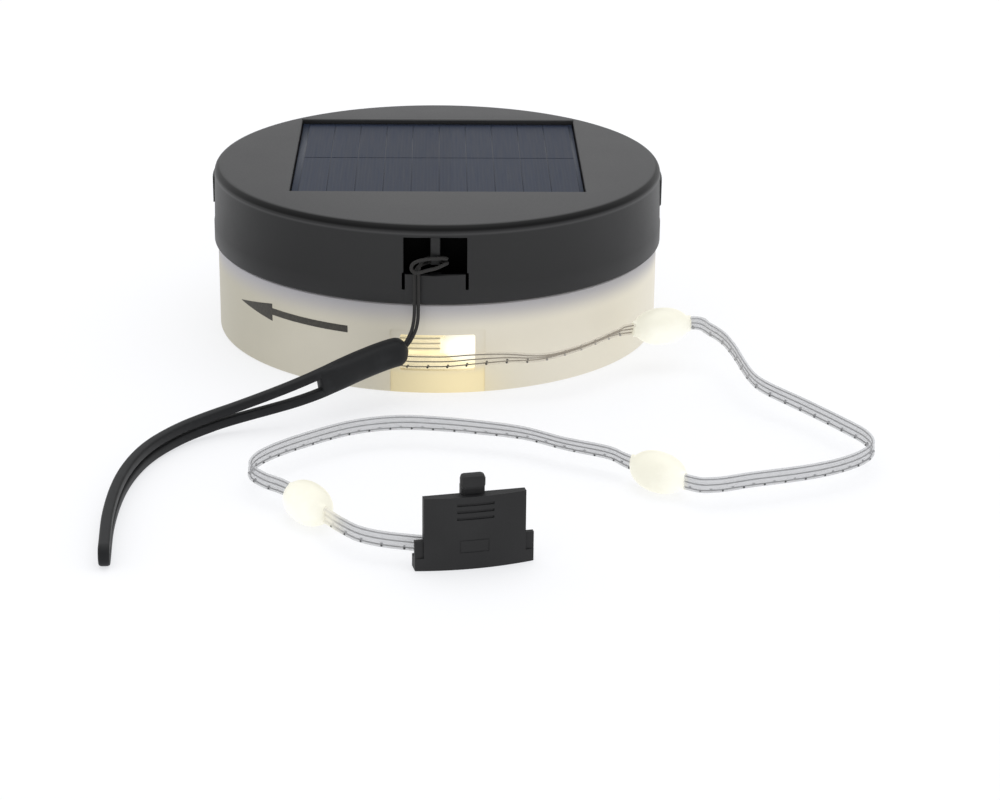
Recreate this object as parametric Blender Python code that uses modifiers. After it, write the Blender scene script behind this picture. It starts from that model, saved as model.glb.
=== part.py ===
"""Solar string lights: a round winding drum with a solar lid and a string of three lit beads.

The frosted shell stands on the floor and turns about the spool, which hangs from the lid.
A flat string leaves the shell's window and ends in a clip. A hanging strap is looped on a
post in the lid's front pocket. Frame: origin at the centre of the shell's underside, +Z up,
the window and the pocket face -Y. All sizes are metres.
"""

import math

import bmesh
import bpy
from mathutils import Matrix, Vector

MM = 0.001
GAP = 0.3 * MM               # between pieces that touch or nearly touch
TURN_STEPS = 64
INNER_STEPS = 40              # turned pieces inside the drum

# Drum, from the floor up
LID_RADIUS = 60.0 * MM       # at the shoulder
SHELL_RADIUS = LID_RADIUS - 0.5 * MM
SHELL_WALL = 1.8 * MM
SHELL_TOP = 23.8 * MM
FLOOR_LOW = 2.6 * MM         # underside of the shell's inner floor
FLOOR_THICK = 1.4 * MM
LID_DRAFT = 0.4 * MM         # how much wider the skirt is at its lower edge
LID_WALL = 1.8 * MM
LID_HEIGHT = 20.6 * MM
SHOULDER = 2.6 * MM
TOP_THICK = 4.1 * MM

LID_LOW = SHELL_TOP + GAP
LID_TOP = LID_LOW + LID_HEIGHT
LID_INNER = LID_RADIUS + LID_DRAFT - LID_WALL - 0.2 * MM
TOP_UNDER = LID_TOP - TOP_THICK
SHELL_INNER = SHELL_RADIUS - SHELL_WALL
FLOOR_TOP = FLOOR_LOW + FLOOR_THICK

# Window and clip seat in the shell
WINDOW_WIDTH = 19.1 * MM
WINDOW_LOW = 6.0 * MM
WINDOW_HEIGHT = 9.6 * MM
SEAT_WIDTH = 24.2 * MM
SEAT_TOP = 17.0 * MM
SEAT_DEPTH = 0.8 * MM

# Solar panel in the lid's top
PANEL_WIDTH = 76.4 * MM
PANEL_DEPTH = 70.9 * MM
PANEL_THICK = 0.7 * MM
PANEL_MIDDLE_Y = 6.3 * MM
PANEL_SUNK = 1.2 * MM        # panel face below the lid's top
PAD_THICK = 0.4 * MM
PAD_RIM = 4.0 * MM
PAD_GAP = 0.2 * MM

# Lanyard pocket, post and tongue in the lid's front
POCKET_WIDTH = 16.0 * MM
POCKET_HIGH = TOP_UNDER + 1.0 * MM
POCKET_LOW = POCKET_HIGH - 9.6 * MM
POCKET_DEPTH = 8.2 * MM
POCKET_WALL = 1.6 * MM
SLIT_WIDTH = 0.8 * MM
SLIT_LOW = POCKET_LOW - 4.0 * MM
POST_WIDTH = 2.5 * MM
POST_LOW = POCKET_LOW + 2.2 * MM

# Side pads: a push-button at -X, a port cover at +X, a charge lens below the cover
PAD_RADIUS = LID_RADIUS + 0.8 * MM
PAD_LOW = TOP_UNDER - 6.5 * MM
PAD_HEIGHT = 7.2 * MM
BUTTON_WIDTH = 10.0 * MM
BUTTON_FLANGE = 1.5 * MM
COVER_WIDTH = 14.0 * MM
COVER_INNER = LID_RADIUS - 1.0 * MM
COVER_SWING_ROOM = 1.9 * MM
LENS_RADIUS = 1.5 * MM
LENS_Z = LID_LOW + 4.1 * MM

# Spool and chassis
HUB_RADIUS = 34.0 * MM
HUB_WALL = 1.8 * MM
FLANGE_RADIUS = SHELL_INNER - 1.2 * MM
FLANGE_THICK = 1.2 * MM
FLANGE_LOW = FLOOR_TOP + GAP
HUB_FLOOR_THICK = 1.2 * MM
BOSS_RADIUS = 9.7 * MM
FELT_INNER = 14.0 * MM
FELT_OUTER = 20.0 * MM
FELT_THICK = 0.9 * MM
WASHER_RADIUS = 14.0 * MM
WASHER_THICK = 0.9 * MM
CHASSIS_RADIUS = LID_INNER - 1.4 * MM
CHASSIS_THICK = 2.0 * MM
CHASSIS_BORE = HUB_RADIUS - 7.0 * MM
SEAL_INNER = LID_INNER - 2.2 * MM
SEAL_THICK = 1.2 * MM

HUB_UNDER = FLANGE_LOW + FELT_THICK + GAP
HUB_FLOOR = HUB_UNDER + HUB_FLOOR_THICK
CHASSIS_TOP = LID_LOW
CHASSIS_LOW = CHASSIS_TOP - CHASSIS_THICK
HUB_TOP = CHASSIS_LOW - GAP

# Screws: (shaft radius, head radius, head thickness)
SCREW = (0.9 * MM, 2.2 * MM, 1.0 * MM)
PILOT_RADIUS = SCREW[0] + GAP
LID_SCREW_RADIUS = LID_INNER - 9.4 * MM
LID_SCREW_DEPTH = 9.0 * MM
SPOOL_SCREW_RADIUS = HUB_RADIUS - 4.0 * MM
SPOOL_SCREW_DEPTH = 8.0 * MM
BOARD_SCREW_AT = (44.0 * MM, 10.0 * MM)
BOARD_SCREW_DEPTH = 7.0 * MM

# Electronics
BATTERY = (1.265 * HUB_RADIUS, 0.88 * HUB_RADIUS, 9.0 * MM)
BATTERY_PAD_THICK = 1.2 * MM
BOARD_HALF_LENGTH = LID_INNER - 4.9 * MM
BOARD_HALF_WIDTH = 14.0 * MM
BOARD_THICK = 1.6 * MM
BOARD_LOW = TOP_UNDER - 5.9 * MM
PORT_SIZE = (8.0 * MM, 8.9 * MM, 3.2 * MM)
PORT_FACE_X = LID_RADIUS - 5.0 * MM
SWITCH_FACE_X = -LID_RADIUS + 4.4 * MM

BOARD_TOP = BOARD_LOW + BOARD_THICK

# String: a flat three-core ribbon, drawn here as the round tube of equal section
STRING_WIDTH = 3.9 * MM
STRING_THICK = 1.0 * MM
STRING_TUBE = math.sqrt(STRING_WIDTH * STRING_THICK / math.pi)
STRING_SPACING = 5.6 * MM
BEAD_LENGTH = 16.0 * MM
BEAD_RADIUS = 4.8 * MM
BEAD_LEAD = 0.7 * MM         # from a bead's tip to the string's end face
WOUND_OUTER = HUB_RADIUS + 12.4 * MM
WOUND_CLEAR = 0.5 * MM
WOUND_HEIGHT = SHELL_TOP - 9.8 * MM

# The loose pieces' places suit a drum of 60 mm; a wider one holds them this much further out
FURTHER = LID_RADIUS - 60.0 * MM

# Beads on the floor side: middle, and direction of the axis in plan in degrees
BEADS = {
    "light_bead_1": ((58.3 * MM, -40.6 * MM - FURTHER, 11.7 * MM), 17.0),
    "light_bead_2": ((51.2 * MM, -122.6 * MM - FURTHER, 4.9 * MM), -44.0),
    "light_bead_3": ((-29.0 * MM, -140.7 * MM - FURTHER, 4.9 * MM), -58.0),
}
SPOOL_BEAD_RADIUS = SHELL_INNER - BEAD_RADIUS - 1.1 * MM
SPOOL_BEAD_ANGLE = -80.5

# Routes of the string between its fixed ends, chosen by hand (millimetres)
RUN_1 = [(-7.6, -57.7, 8.1), (-2.0, -58.3, 8.2), (3.0, -59.7, 8.8), (9.3, -61.9, 10.2),
         (17.2, -63.3, 11.2), (26.6, -62.4, 11.0), (36.2, -57.4, 11.8), (45.5, -48.2, 12.3)]
RUN_2 = [(70.8, -39.0, 10.4), (74.2, -44.2, 9.6), (76.2, -52.4, 9.0), (77.8, -61.3, 8.0),
         (79.6, -68.2, 7.2), (82.8, -72.8, 6.4), (90.5, -82.1, 5.6), (98.6, -95.1, 5.5),
         (102.3, -102.3, 5.5), (103.0, -108.9, 5.5), (100.0, -114.6, 5.5),
         (93.7, -120.0, 5.5), (84.8, -124.4, 5.5), (72.5, -128.4, 5.5), (63.4, -130.9, 5.2)]
RUN_3 = [(40.3, -111.8, 5.3), (30.1, -106.6, 5.5), (20.9, -100.4, 5.6), (11.1, -96.9, 5.6),
         (-0.5, -94.2, 5.6), (-10.5, -93.6, 5.6), (-20.9, -97.0, 5.6), (-31.4, -104.6, 5.5),
         (-38.7, -111.6, 5.4), (-42.4, -117.4, 5.3), (-42.9, -123.0, 5.2),
         (-39.6, -128.0, 5.1)]
RUN_4 = [(-20.6, -153.6, 4.9), (-17.0, -157.6, 4.9), (-11.8, -160.6, 5.0)]

# End clip: front face bowed like the drum
CLIP_PLACE = (8.4 * MM, -165.2 * MM - FURTHER)
CLIP_TURN = 12.4
CLIP_WIDTH = 22.6 * MM
CLIP_HEIGHT = 17.0 * MM
CLIP_PLATE = 2.8 * MM
CLIP_BAR_WIDTH = 26.4 * MM
CLIP_BAR_HEIGHT = 3.0 * MM
CLIP_BAR_DEPTH = 4.6 * MM
CLIP_EAR = (2.3 * MM, 1.1 * MM, 6.9 * MM)
CLIP_PLUG = (18.4 * MM, 6.0 * MM, 8.8 * MM)
CLIP_PLUG_LOW = 2.8 * MM
CLIP_NUB = (5.4 * MM, 3.0 * MM, 4.5 * MM)
CLIP_STRING_Y = 5.3 * MM

# Lanyard: doubled cord from the post, and a silicone strap split into two bands
CORD_TUBE = 0.9 * MM
HITCH = POST_LOW / MM + 1.0
CORD_ROUTE = [(-3.0, -60.1, HITCH), (-4.7, -61.6, HITCH - 0.8), (-5.2, -61.8, HITCH - 5.2),
              (-5.3, -61.9, HITCH - 9.7), (-5.7, -62.4, 20.8), (-6.6, -63.6, 18.5)]
STRAP_ROUTE = [(-7.4, -65.2, 13.9), (-11.9, -66.6, 13.4), (-19.3, -70.6, 11.8),
               (-28.3, -77.8, 10.0), (-34.3, -81.1, 8.6), (-40.4, -83.2, 7.1),
               (-49.4, -86.0, 5.0), (-55.2, -89.0, 4.0), (-62.0, -95.0, 3.2),
               (-67.8, -104.2, 2.8), (-71.2, -115.0, 2.7), (-73.0, -128.0, 2.6),
               (-73.2, -145.0, 2.6), (-71.9, -163.4, 2.6)]
GRIP_LENGTH = 27.0 * MM
GRIP_RADIUS = 3.5 * MM
BAND_RADIUS = 1.05 * MM
BAND_APART = 1.4 * MM       # half the spacing of the bands' centres
FORK_APART = 2.4 * MM        # the same at the grip

# Leads inside the drum (millimetres), from heights over the board, the cell and the hub
OVER_BOARD = BOARD_TOP / MM
UNDER_BOARD = BOARD_LOW / MM - 1.1
OVER_CELL = (HUB_FLOOR + BATTERY_PAD_THICK + BATTERY[2] + 2 * GAP) / MM + 1.1
HUB_SIDE = -HUB_RADIUS / MM + 0.4
PANEL_LEAD = [(-20.0, 5.0, OVER_BOARD + 5.8), (-20.0, 5.0, OVER_BOARD + 3.7),
              (-18.0, 4.0, OVER_BOARD + 1.9), (-14.0, 2.0, OVER_BOARD + 1.3)]
BATTERY_LEAD = [(-HUB_SIDE - 16.6, 0.0, OVER_CELL), (-HUB_SIDE - 15.6, 1.0, OVER_CELL + 4.4),
                (-HUB_SIDE - 12.6, 4.0, UNDER_BOARD - 5.6), (-HUB_SIDE - 10.6, 6.0, UNDER_BOARD)]
STRING_LEAD = [(HUB_SIDE + 13.6, 0.0, UNDER_BOARD), (HUB_SIDE + 13.6, 0.0, UNDER_BOARD - 7.6),
               (HUB_SIDE + 9.6, 0.0, 20.0), (HUB_SIDE + 5.1, 0.0, 15.0), (HUB_SIDE, 0.0, 13.6)]
LEAD_RADIUS = 0.7 * MM
LEAD_SLOT = (3.2 * MM, 3.2 * MM)
LEAD_HOLE = 1.4 * MM

COLOURS = {
    "black_plastic": ((0.040, 0.041, 0.044), 0.45, 0.0),
    "solar_cell": ((0.060, 0.075, 0.110), 0.25, 0.0),
    "foam": ((0.55, 0.55, 0.52), 0.95, 0.0),
    "frosted_plastic": ((0.86, 0.83, 0.79), 0.55, 0.0),
    "soft_rubber": ((0.030, 0.030, 0.032), 0.70, 0.0),
    "clear_lens": ((0.80, 0.86, 0.84), 0.20, 0.0),
    "steel": ((0.55, 0.55, 0.56), 0.35, 1.0),
    "felt": ((0.32, 0.32, 0.33), 1.00, 0.0),
    "circuit_board": ((0.03, 0.16, 0.07), 0.50, 0.0),
    "battery_foil": ((0.55, 0.56, 0.58), 0.40, 0.4),
    "string_pvc": ((0.55, 0.56, 0.57), 0.35, 0.0),
    "bead_pvc": ((1.00, 0.93, 0.74), 0.40, 0.0),
    "cord_fibre": ((0.035, 0.035, 0.037), 0.85, 0.0),
}


def clear_scene():
    """Remove whatever objects the scene holds."""
    for obj in list(bpy.data.objects):
        bpy.data.objects.remove(obj, do_unlink=True)


def make_collection(name):
    """Return a new collection linked to the scene."""
    group = bpy.data.collections.new(name)
    bpy.context.scene.collection.children.link(group)
    return group


clear_scene()
PARTS = make_collection("solar_string_lights")
CUTTERS = make_collection("cutters")


def make_material(name):
    """Return the Principled material of one finish, made once."""
    found = bpy.data.materials.get(name)
    if found:
        return found
    colour, roughness, metallic = COLOURS[name]
    mat = bpy.data.materials.new(name)
    mat.use_nodes = True
    shader = mat.node_tree.nodes["Principled BSDF"]
    shader.inputs["Base Color"].default_value = (*colour, 1.0)
    shader.inputs["Roughness"].default_value = roughness
    shader.inputs["Metallic"].default_value = metallic
    return mat


def add_object(name, mesh, finish=None):
    """Put a mesh in the scene, as a part with a finish or as a hidden cutter."""
    obj = bpy.data.objects.new(name, mesh)
    if finish:
        PARTS.objects.link(obj)
        mesh.materials.append(make_material(finish))
    else:
        CUTTERS.objects.link(obj)
        obj.hide_render = True
        obj.display_type = "WIRE"
    return obj


def shade(mesh):
    """Shade a mesh smooth and keep its corners sharp."""
    mesh.shade_smooth()
    mesh.set_sharp_from_angle(angle=math.radians(35))


def mesh_from(bm, name):
    """Turn a bmesh into a mesh."""
    mesh = bpy.data.meshes.new(name)
    bmesh.ops.recalc_face_normals(bm, faces=bm.faces)
    bm.to_mesh(mesh)
    bm.free()
    return mesh


def box(name, low, high, finish=None, round_by=0.0, segments=2):
    """A box between two corners, with rounded edges if round_by is set."""
    low, high = Vector(low), Vector(high)
    bm = bmesh.new()
    size = high - low
    place = Matrix.Translation((low + high) / 2) @ Matrix.Diagonal((*size, 1.0))
    bmesh.ops.create_cube(bm, size=1.0, matrix=place)
    obj = add_object(name, mesh_from(bm, name), finish)
    if round_by:
        bevel = obj.modifiers.new("edges", "BEVEL")
        bevel.width = round_by
        bevel.segments = segments
        bevel.limit_method = "NONE"
    return obj


def cylinder(name, radius, low, high, centre=(0.0, 0.0), finish=None, segments=24, along="Z"):
    """A cylinder between two heights along Z, or between two X values with along='X'."""
    bm = bmesh.new()
    if along == "Z":
        place = Matrix.Translation((centre[0], centre[1], (low + high) / 2))
    else:
        place = Matrix.Translation(((low + high) / 2, centre[0], centre[1]))
        place = place @ Matrix.Rotation(math.pi / 2, 4, "Y")
    bmesh.ops.create_cone(bm, cap_ends=True, segments=segments, radius1=radius, radius2=radius,
                          depth=high - low, matrix=place)
    obj = add_object(name, mesh_from(bm, name), finish)
    shade(obj.data)
    return obj


def turned(name, profile, finish=None, closed=True, steps=TURN_STEPS):
    """A turned solid from (radius, height) points that run down the outer side."""
    mesh = bpy.data.meshes.new(name)
    points = [(radius, 0.0, height) for radius, height in profile]
    edges = [(i, i + 1) for i in range(len(points) - 1)]
    if closed:
        edges.append((len(points) - 1, 0))
    mesh.from_pydata(points, edges, [])
    obj = add_object(name, mesh, finish)
    screw = obj.modifiers.new("turn", "SCREW")
    screw.angle = 2 * math.pi
    screw.steps = steps
    screw.render_steps = steps
    screw.use_merge_vertices = True
    screw.merge_threshold = 0.00001
    screw.use_smooth_shade = False
    return obj


def combine(target, other, operation="DIFFERENCE"):
    """Add a Boolean of another object to the target."""
    mod = target.modifiers.new(other.name, "BOOLEAN")
    mod.operation = operation
    mod.object = other
    return target


def smooth_route(points, spacing):
    """Points at an even spacing on a smooth curve through the given points."""
    points = [Vector(p) for p in points]
    ends = [2 * points[0] - points[1]] + points + [2 * points[-1] - points[-2]]
    fine = []
    for before, a, b, after in zip(ends, ends[1:], ends[2:], ends[3:]):
        for i in range(24):
            t = i / 24
            fine.append(0.5 * (2 * a + (b - before) * t
                               + (2 * before - 5 * a + 4 * b - after) * t * t
                               + (3 * a - before - 3 * b + after) * t ** 3))
    fine.append(points[-1])
    lengths = [0.0]
    for a, b in zip(fine, fine[1:]):
        lengths.append(lengths[-1] + (b - a).length)
    count = max(2, round(lengths[-1] / spacing))
    route, at = [fine[0]], 0
    for i in range(1, count):
        want = lengths[-1] * i / count
        while lengths[at + 1] < want:
            at += 1
        share = (want - lengths[at]) / (lengths[at + 1] - lengths[at])
        route.append(fine[at].lerp(fine[at + 1], share))
    return route + [fine[-1]]


def tube(name, route, radius, finish=None, as_mesh=False):
    """A round tube along a route, as a curve object or welded to a mesh."""
    curve = bpy.data.curves.new(name, "CURVE")
    curve.dimensions = "3D"
    curve.bevel_depth = radius
    curve.bevel_resolution = 2
    curve.use_fill_caps = True
    spline = curve.splines.new("POLY")
    spline.points.add(len(route) - 1)
    for point, place in zip(spline.points, route):
        point.co = (*place, 1.0)
    obj = bpy.data.objects.new(name, curve)
    PARTS.objects.link(obj)
    if not as_mesh:
        curve.materials.append(make_material(finish))
        return obj
    seen = obj.evaluated_get(bpy.context.evaluated_depsgraph_get())
    mesh = bpy.data.meshes.new_from_object(seen)
    bpy.data.objects.remove(obj, do_unlink=True)
    bm = bmesh.new()
    bm.from_mesh(mesh)
    bmesh.ops.remove_doubles(bm, verts=bm.verts, dist=0.000002)
    return add_object(name, mesh_from(bm, name), finish)


def millimetres(points):
    """Route points given in millimetres, as metres."""
    return [Vector(p) * MM for p in points]


def outside(points):
    """Points of a loose piece's route in millimetres, as metres in front of the drum."""
    return [p - Vector((0.0, FURTHER, 0.0)) for p in millimetres(points)]


def ring_places(radius, first_angle, count):
    """Places evenly round a circle, as (x, y)."""
    for i in range(count):
        angle = math.radians(first_angle + 360 * i / count)
        yield radius * math.cos(angle), radius * math.sin(angle)


def screw_piece(name, place, head_face, into, depth, size=SCREW):
    """A cap screw: its head's bearing face at head_face, its shaft going depth along into."""
    shaft, head, thick = size
    tip, cap = head_face + into * depth, head_face - into * thick
    profile = [(0.0, tip), (shaft, tip), (shaft, head_face), (head, head_face), (head, cap),
               (0.0, cap)]
    if tip < cap:
        profile.reverse()
    obj = turned(name, profile, "steel", closed=False, steps=16)
    obj.location = (place[0], place[1], 0.0)
    return obj


def build_shell():
    """Frosted shell: wall, inner floor with the spool's bearing hole, window and clip seat."""
    chamfer = 0.5 * MM
    bore = BOSS_RADIUS + GAP
    shell = turned("frosted_shell", [
        (SHELL_RADIUS, SHELL_TOP), (SHELL_RADIUS, chamfer), (SHELL_RADIUS - chamfer, 0.0),
        (SHELL_INNER, 0.0), (SHELL_INNER, FLOOR_LOW), (bore, FLOOR_LOW), (bore, FLOOR_TOP),
        (SHELL_INNER, FLOOR_TOP), (SHELL_INNER, SHELL_TOP)], "frosted_plastic")
    half = SEAT_WIDTH / 2
    seat = box("cut_seat", (-half, -SHELL_RADIUS - 2 * MM, -MM),
               (half, -SHELL_INNER + 4 * MM, SEAT_TOP))
    core = cylinder("cut_seat_core", SHELL_RADIUS - SEAT_DEPTH, -2 * MM, SEAT_TOP + MM,
                    segments=128)
    combine(seat, core)
    combine(shell, seat)
    half = WINDOW_WIDTH / 2
    window = box("cut_window", (-half, -SHELL_RADIUS - 2 * MM, WINDOW_LOW),
                 (half, -SHELL_INNER + 6 * MM, WINDOW_LOW + WINDOW_HEIGHT), round_by=0.6 * MM)
    combine(shell, window)
    return shell


def build_lid():
    """Lid housing with the panel recess, lanyard pocket, post, tongue and side openings."""
    curve = [(math.sin(a) * SHOULDER, math.cos(a) * SHOULDER)
             for a in (math.radians(15 * i) for i in range(7))]
    shoulder = [(LID_RADIUS - SHOULDER + x, LID_TOP - SHOULDER + z) for x, z in curve]
    lid = turned("lid_housing", [(0.0, LID_TOP)] + shoulder + [
        (LID_RADIUS + LID_DRAFT, LID_LOW), (LID_INNER, LID_LOW), (LID_INNER, TOP_UNDER),
        (0.0, TOP_UNDER)], "black_plastic", closed=False)

    half = POCKET_WIDTH / 2 + SLIT_WIDTH
    half_slit = SLIT_WIDTH / 2
    back = -LID_INNER + POCKET_DEPTH
    wall_mid = -LID_RADIUS + LID_WALL / 2 + 0.2 * MM
    pocket_floor = CHASSIS_TOP + GAP + SEAL_THICK + GAP
    combine(lid, box("join_pocket", (-half - POCKET_WALL, wall_mid, pocket_floor),
                     (half + POCKET_WALL, back + POCKET_WALL, TOP_UNDER + MM)), "UNION")
    port_wall = COVER_INNER - GAP
    half_cover = COVER_WIDTH / 2
    combine(lid, box("join_port", (PORT_FACE_X + 0.5 * MM, -half_cover - 2 * MM,
                                   PAD_LOW - 2.6 * MM),
                     (port_wall + 0.1 * MM, half_cover + 3.5 * MM, TOP_UNDER + MM)), "UNION")
    for i, place in enumerate(ring_places(LID_SCREW_RADIUS, 45, 4)):
        combine(lid, cylinder(f"join_boss_{i}", 3.0 * MM, CHASSIS_TOP + GAP, TOP_UNDER + MM,
                              place), "UNION")

    recess = [PANEL_WIDTH / 2 + GAP, PANEL_DEPTH / 2 + GAP]
    recess_floor = LID_TOP - PANEL_SUNK - PANEL_THICK - PAD_THICK - 2 * PAD_GAP
    combine(lid, box("cut_panel", (-recess[0], PANEL_MIDDLE_Y - recess[1], recess_floor),
                     (recess[0], PANEL_MIDDLE_Y + recess[1], LID_TOP + 2 * MM)))
    combine(lid, box("cut_pocket_inside", (-half, -LID_INNER + 0.8 * MM,
                                           pocket_floor + POCKET_WALL),
                     (half, back, POCKET_HIGH)))
    half_mouth = POCKET_WIDTH / 2
    combine(lid, box("cut_pocket_mouth", (-half_mouth, -LID_RADIUS - 3 * MM, POCKET_LOW),
                     (half_mouth, back - MM, POCKET_HIGH)))
    for side in (-1, 1):
        near, far = sorted((side * half_mouth - half_slit, side * half_mouth + half_slit))
        combine(lid, box(f"cut_slit_{side + 1}", (near, -LID_RADIUS - 3 * MM, SLIT_LOW),
                         (far, back - 2 * MM, POCKET_LOW + 0.4 * MM)))
    hole = BUTTON_WIDTH / 2 + GAP
    combine(lid, box("cut_button", (-LID_RADIUS - 3 * MM, -hole, PAD_LOW - GAP),
                     (-LID_RADIUS + 5 * MM, hole, PAD_LOW + PAD_HEIGHT + GAP)))
    combine(lid, box("cut_cover", (port_wall, -half_cover - GAP, PAD_LOW - GAP),
                     (LID_RADIUS + 3 * MM, half_cover + COVER_SWING_ROOM,
                      PAD_LOW + PAD_HEIGHT + GAP)))
    port_half = PORT_SIZE[1] / 2 + GAP
    combine(lid, box("cut_port", (PORT_FACE_X - MM, -port_half, BOARD_TOP + 0.2 * MM),
                     (LID_RADIUS + 2 * MM, port_half, BOARD_TOP + PORT_SIZE[2] + 0.5 * MM)))
    combine(lid, cylinder("cut_lens", LENS_RADIUS + GAP, LID_INNER - 2 * MM,
                          LID_RADIUS + 3 * MM, (0.0, LENS_Z), along="X"))
    combine(lid, cylinder("cut_panel_lead", LEAD_HOLE, TOP_UNDER - MM, recess_floor + MM,
                          (PANEL_LEAD[0][0] * MM, PANEL_LEAD[0][1] * MM)))
    for i, place in enumerate(ring_places(LID_SCREW_RADIUS, 45, 4)):
        combine(lid, cylinder(f"cut_pilot_{i}", PILOT_RADIUS, CHASSIS_LOW,
                              CHASSIS_LOW + LID_SCREW_DEPTH + MM, place, segments=16))
    half_post = POST_WIDTH / 2
    post_face = -LID_RADIUS + MM
    combine(lid, box("join_post", (-half_post, post_face, POST_LOW),
                     (half_post, post_face + POST_WIDTH, POCKET_HIGH + 0.2 * MM)), "UNION")
    return lid


def build_panel():
    """Solar laminate and the adhesive frame that holds it in the lid's recess."""
    half_x, half_y = PANEL_WIDTH / 2, PANEL_DEPTH / 2
    top = LID_TOP - PANEL_SUNK
    low = top - PANEL_THICK
    box("solar_panel", (-half_x, PANEL_MIDDLE_Y - half_y, low),
        (half_x, PANEL_MIDDLE_Y + half_y, top), "solar_cell")
    pad_low = low - PAD_GAP - PAD_THICK
    pad = box("panel_adhesive", (-half_x, PANEL_MIDDLE_Y - half_y, pad_low),
              (half_x, PANEL_MIDDLE_Y + half_y, low - PAD_GAP), "foam")
    combine(pad, box("cut_adhesive",
                     (-half_x + PAD_RIM, PANEL_MIDDLE_Y - half_y + PAD_RIM, pad_low - MM),
                     (half_x - PAD_RIM, PANEL_MIDDLE_Y + half_y - PAD_RIM, low + MM)))


def build_side_pieces():
    """Push-button at -X, port cover at +X on its hinge line, and the charge lens."""
    bound = cylinder("shape_pads", PAD_RADIUS, PAD_LOW - 3 * MM, PAD_LOW + PAD_HEIGHT + 3 * MM,
                     segments=128)
    half = BUTTON_WIDTH / 2
    top = PAD_LOW + PAD_HEIGHT
    flange_out = -LID_INNER + 0.7 * MM
    flange_in = flange_out + 0.8 * MM
    button = box("mode_button", (-PAD_RADIUS - MM, -half, PAD_LOW), (flange_in, half, top),
                 "soft_rubber", round_by=0.6 * MM)
    combine(button, bound, "INTERSECT")
    combine(button, box("join_button_flange", (flange_out, -half - BUTTON_FLANGE,
                                               PAD_LOW - BUTTON_FLANGE),
                        (flange_in, half + BUTTON_FLANGE, TOP_UNDER - GAP)), "UNION")
    half = COVER_WIDTH / 2
    cover = box("port_cover", (COVER_INNER, -half, PAD_LOW), (PAD_RADIUS + MM, half, top),
                "soft_rubber")
    combine(cover, bound, "INTERSECT")
    lens = cylinder("charge_lens", LENS_RADIUS, LID_INNER - 1.5 * MM, PAD_RADIUS - 0.2 * MM,
                    (0.0, LENS_Z), "clear_lens", 20, "X")
    return button, cover, lens


def build_spool():
    """Spool that the string winds on, its felt ring, washer and centre screw."""
    hub_inner = HUB_RADIUS - HUB_WALL
    hole = PILOT_RADIUS + 0.5 * MM
    step = FELT_OUTER + 2 * MM
    flange_top = FLANGE_LOW + FLANGE_THICK
    spool = turned("spool", [
        (HUB_RADIUS, HUB_TOP), (HUB_RADIUS, flange_top), (FLANGE_RADIUS, flange_top),
        (FLANGE_RADIUS, FLANGE_LOW), (step, FLANGE_LOW), (step, HUB_UNDER),
        (BOSS_RADIUS, HUB_UNDER), (BOSS_RADIUS, FLOOR_LOW), (hole, FLOOR_LOW),
        (hole, HUB_FLOOR), (hub_inner, HUB_FLOOR), (hub_inner, HUB_TOP)], "frosted_plastic",
        steps=INNER_STEPS)
    for i, place in enumerate(ring_places(SPOOL_SCREW_RADIUS, 90, 3)):
        combine(spool, cylinder(f"join_hub_boss_{i}", 2.6 * MM, HUB_FLOOR - 0.5 * MM,
                                HUB_TOP, place), "UNION")
        combine(spool, cylinder(f"cut_hub_pilot_{i}", PILOT_RADIUS,
                                CHASSIS_TOP - SPOOL_SCREW_DEPTH - MM, HUB_TOP + MM, place,
                                segments=16))
    slot_x, slot_z = -HUB_RADIUS, STRING_LEAD[-1][2] * MM
    combine(spool, box("cut_lead_slot",
                       (slot_x - MM, -LEAD_SLOT[0] / 2, slot_z - LEAD_SLOT[1] / 2),
                       (slot_x + HUB_WALL + MM, LEAD_SLOT[0] / 2, slot_z + LEAD_SLOT[1] / 2)))
    turned("felt_ring", [(FELT_OUTER, HUB_UNDER - GAP), (FELT_OUTER, FLANGE_LOW),
                         (FELT_INNER, FLANGE_LOW), (FELT_INNER, HUB_UNDER - GAP)],
           "felt", steps=24)
    washer_top = FLOOR_LOW - GAP
    turned("retaining_washer", [(WASHER_RADIUS, washer_top),
                                (WASHER_RADIUS, washer_top - WASHER_THICK),
                                (hole, washer_top - WASHER_THICK), (hole, washer_top)],
           "steel", steps=24)
    head_face = washer_top - WASHER_THICK - 0.2 * MM
    screw_piece("centre_screw", (0.0, 0.0), head_face, 1, HUB_FLOOR - head_face - 0.2 * MM,
                (SCREW[0] + 0.5 * MM, 3.2 * MM, 0.8 * MM))


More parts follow.
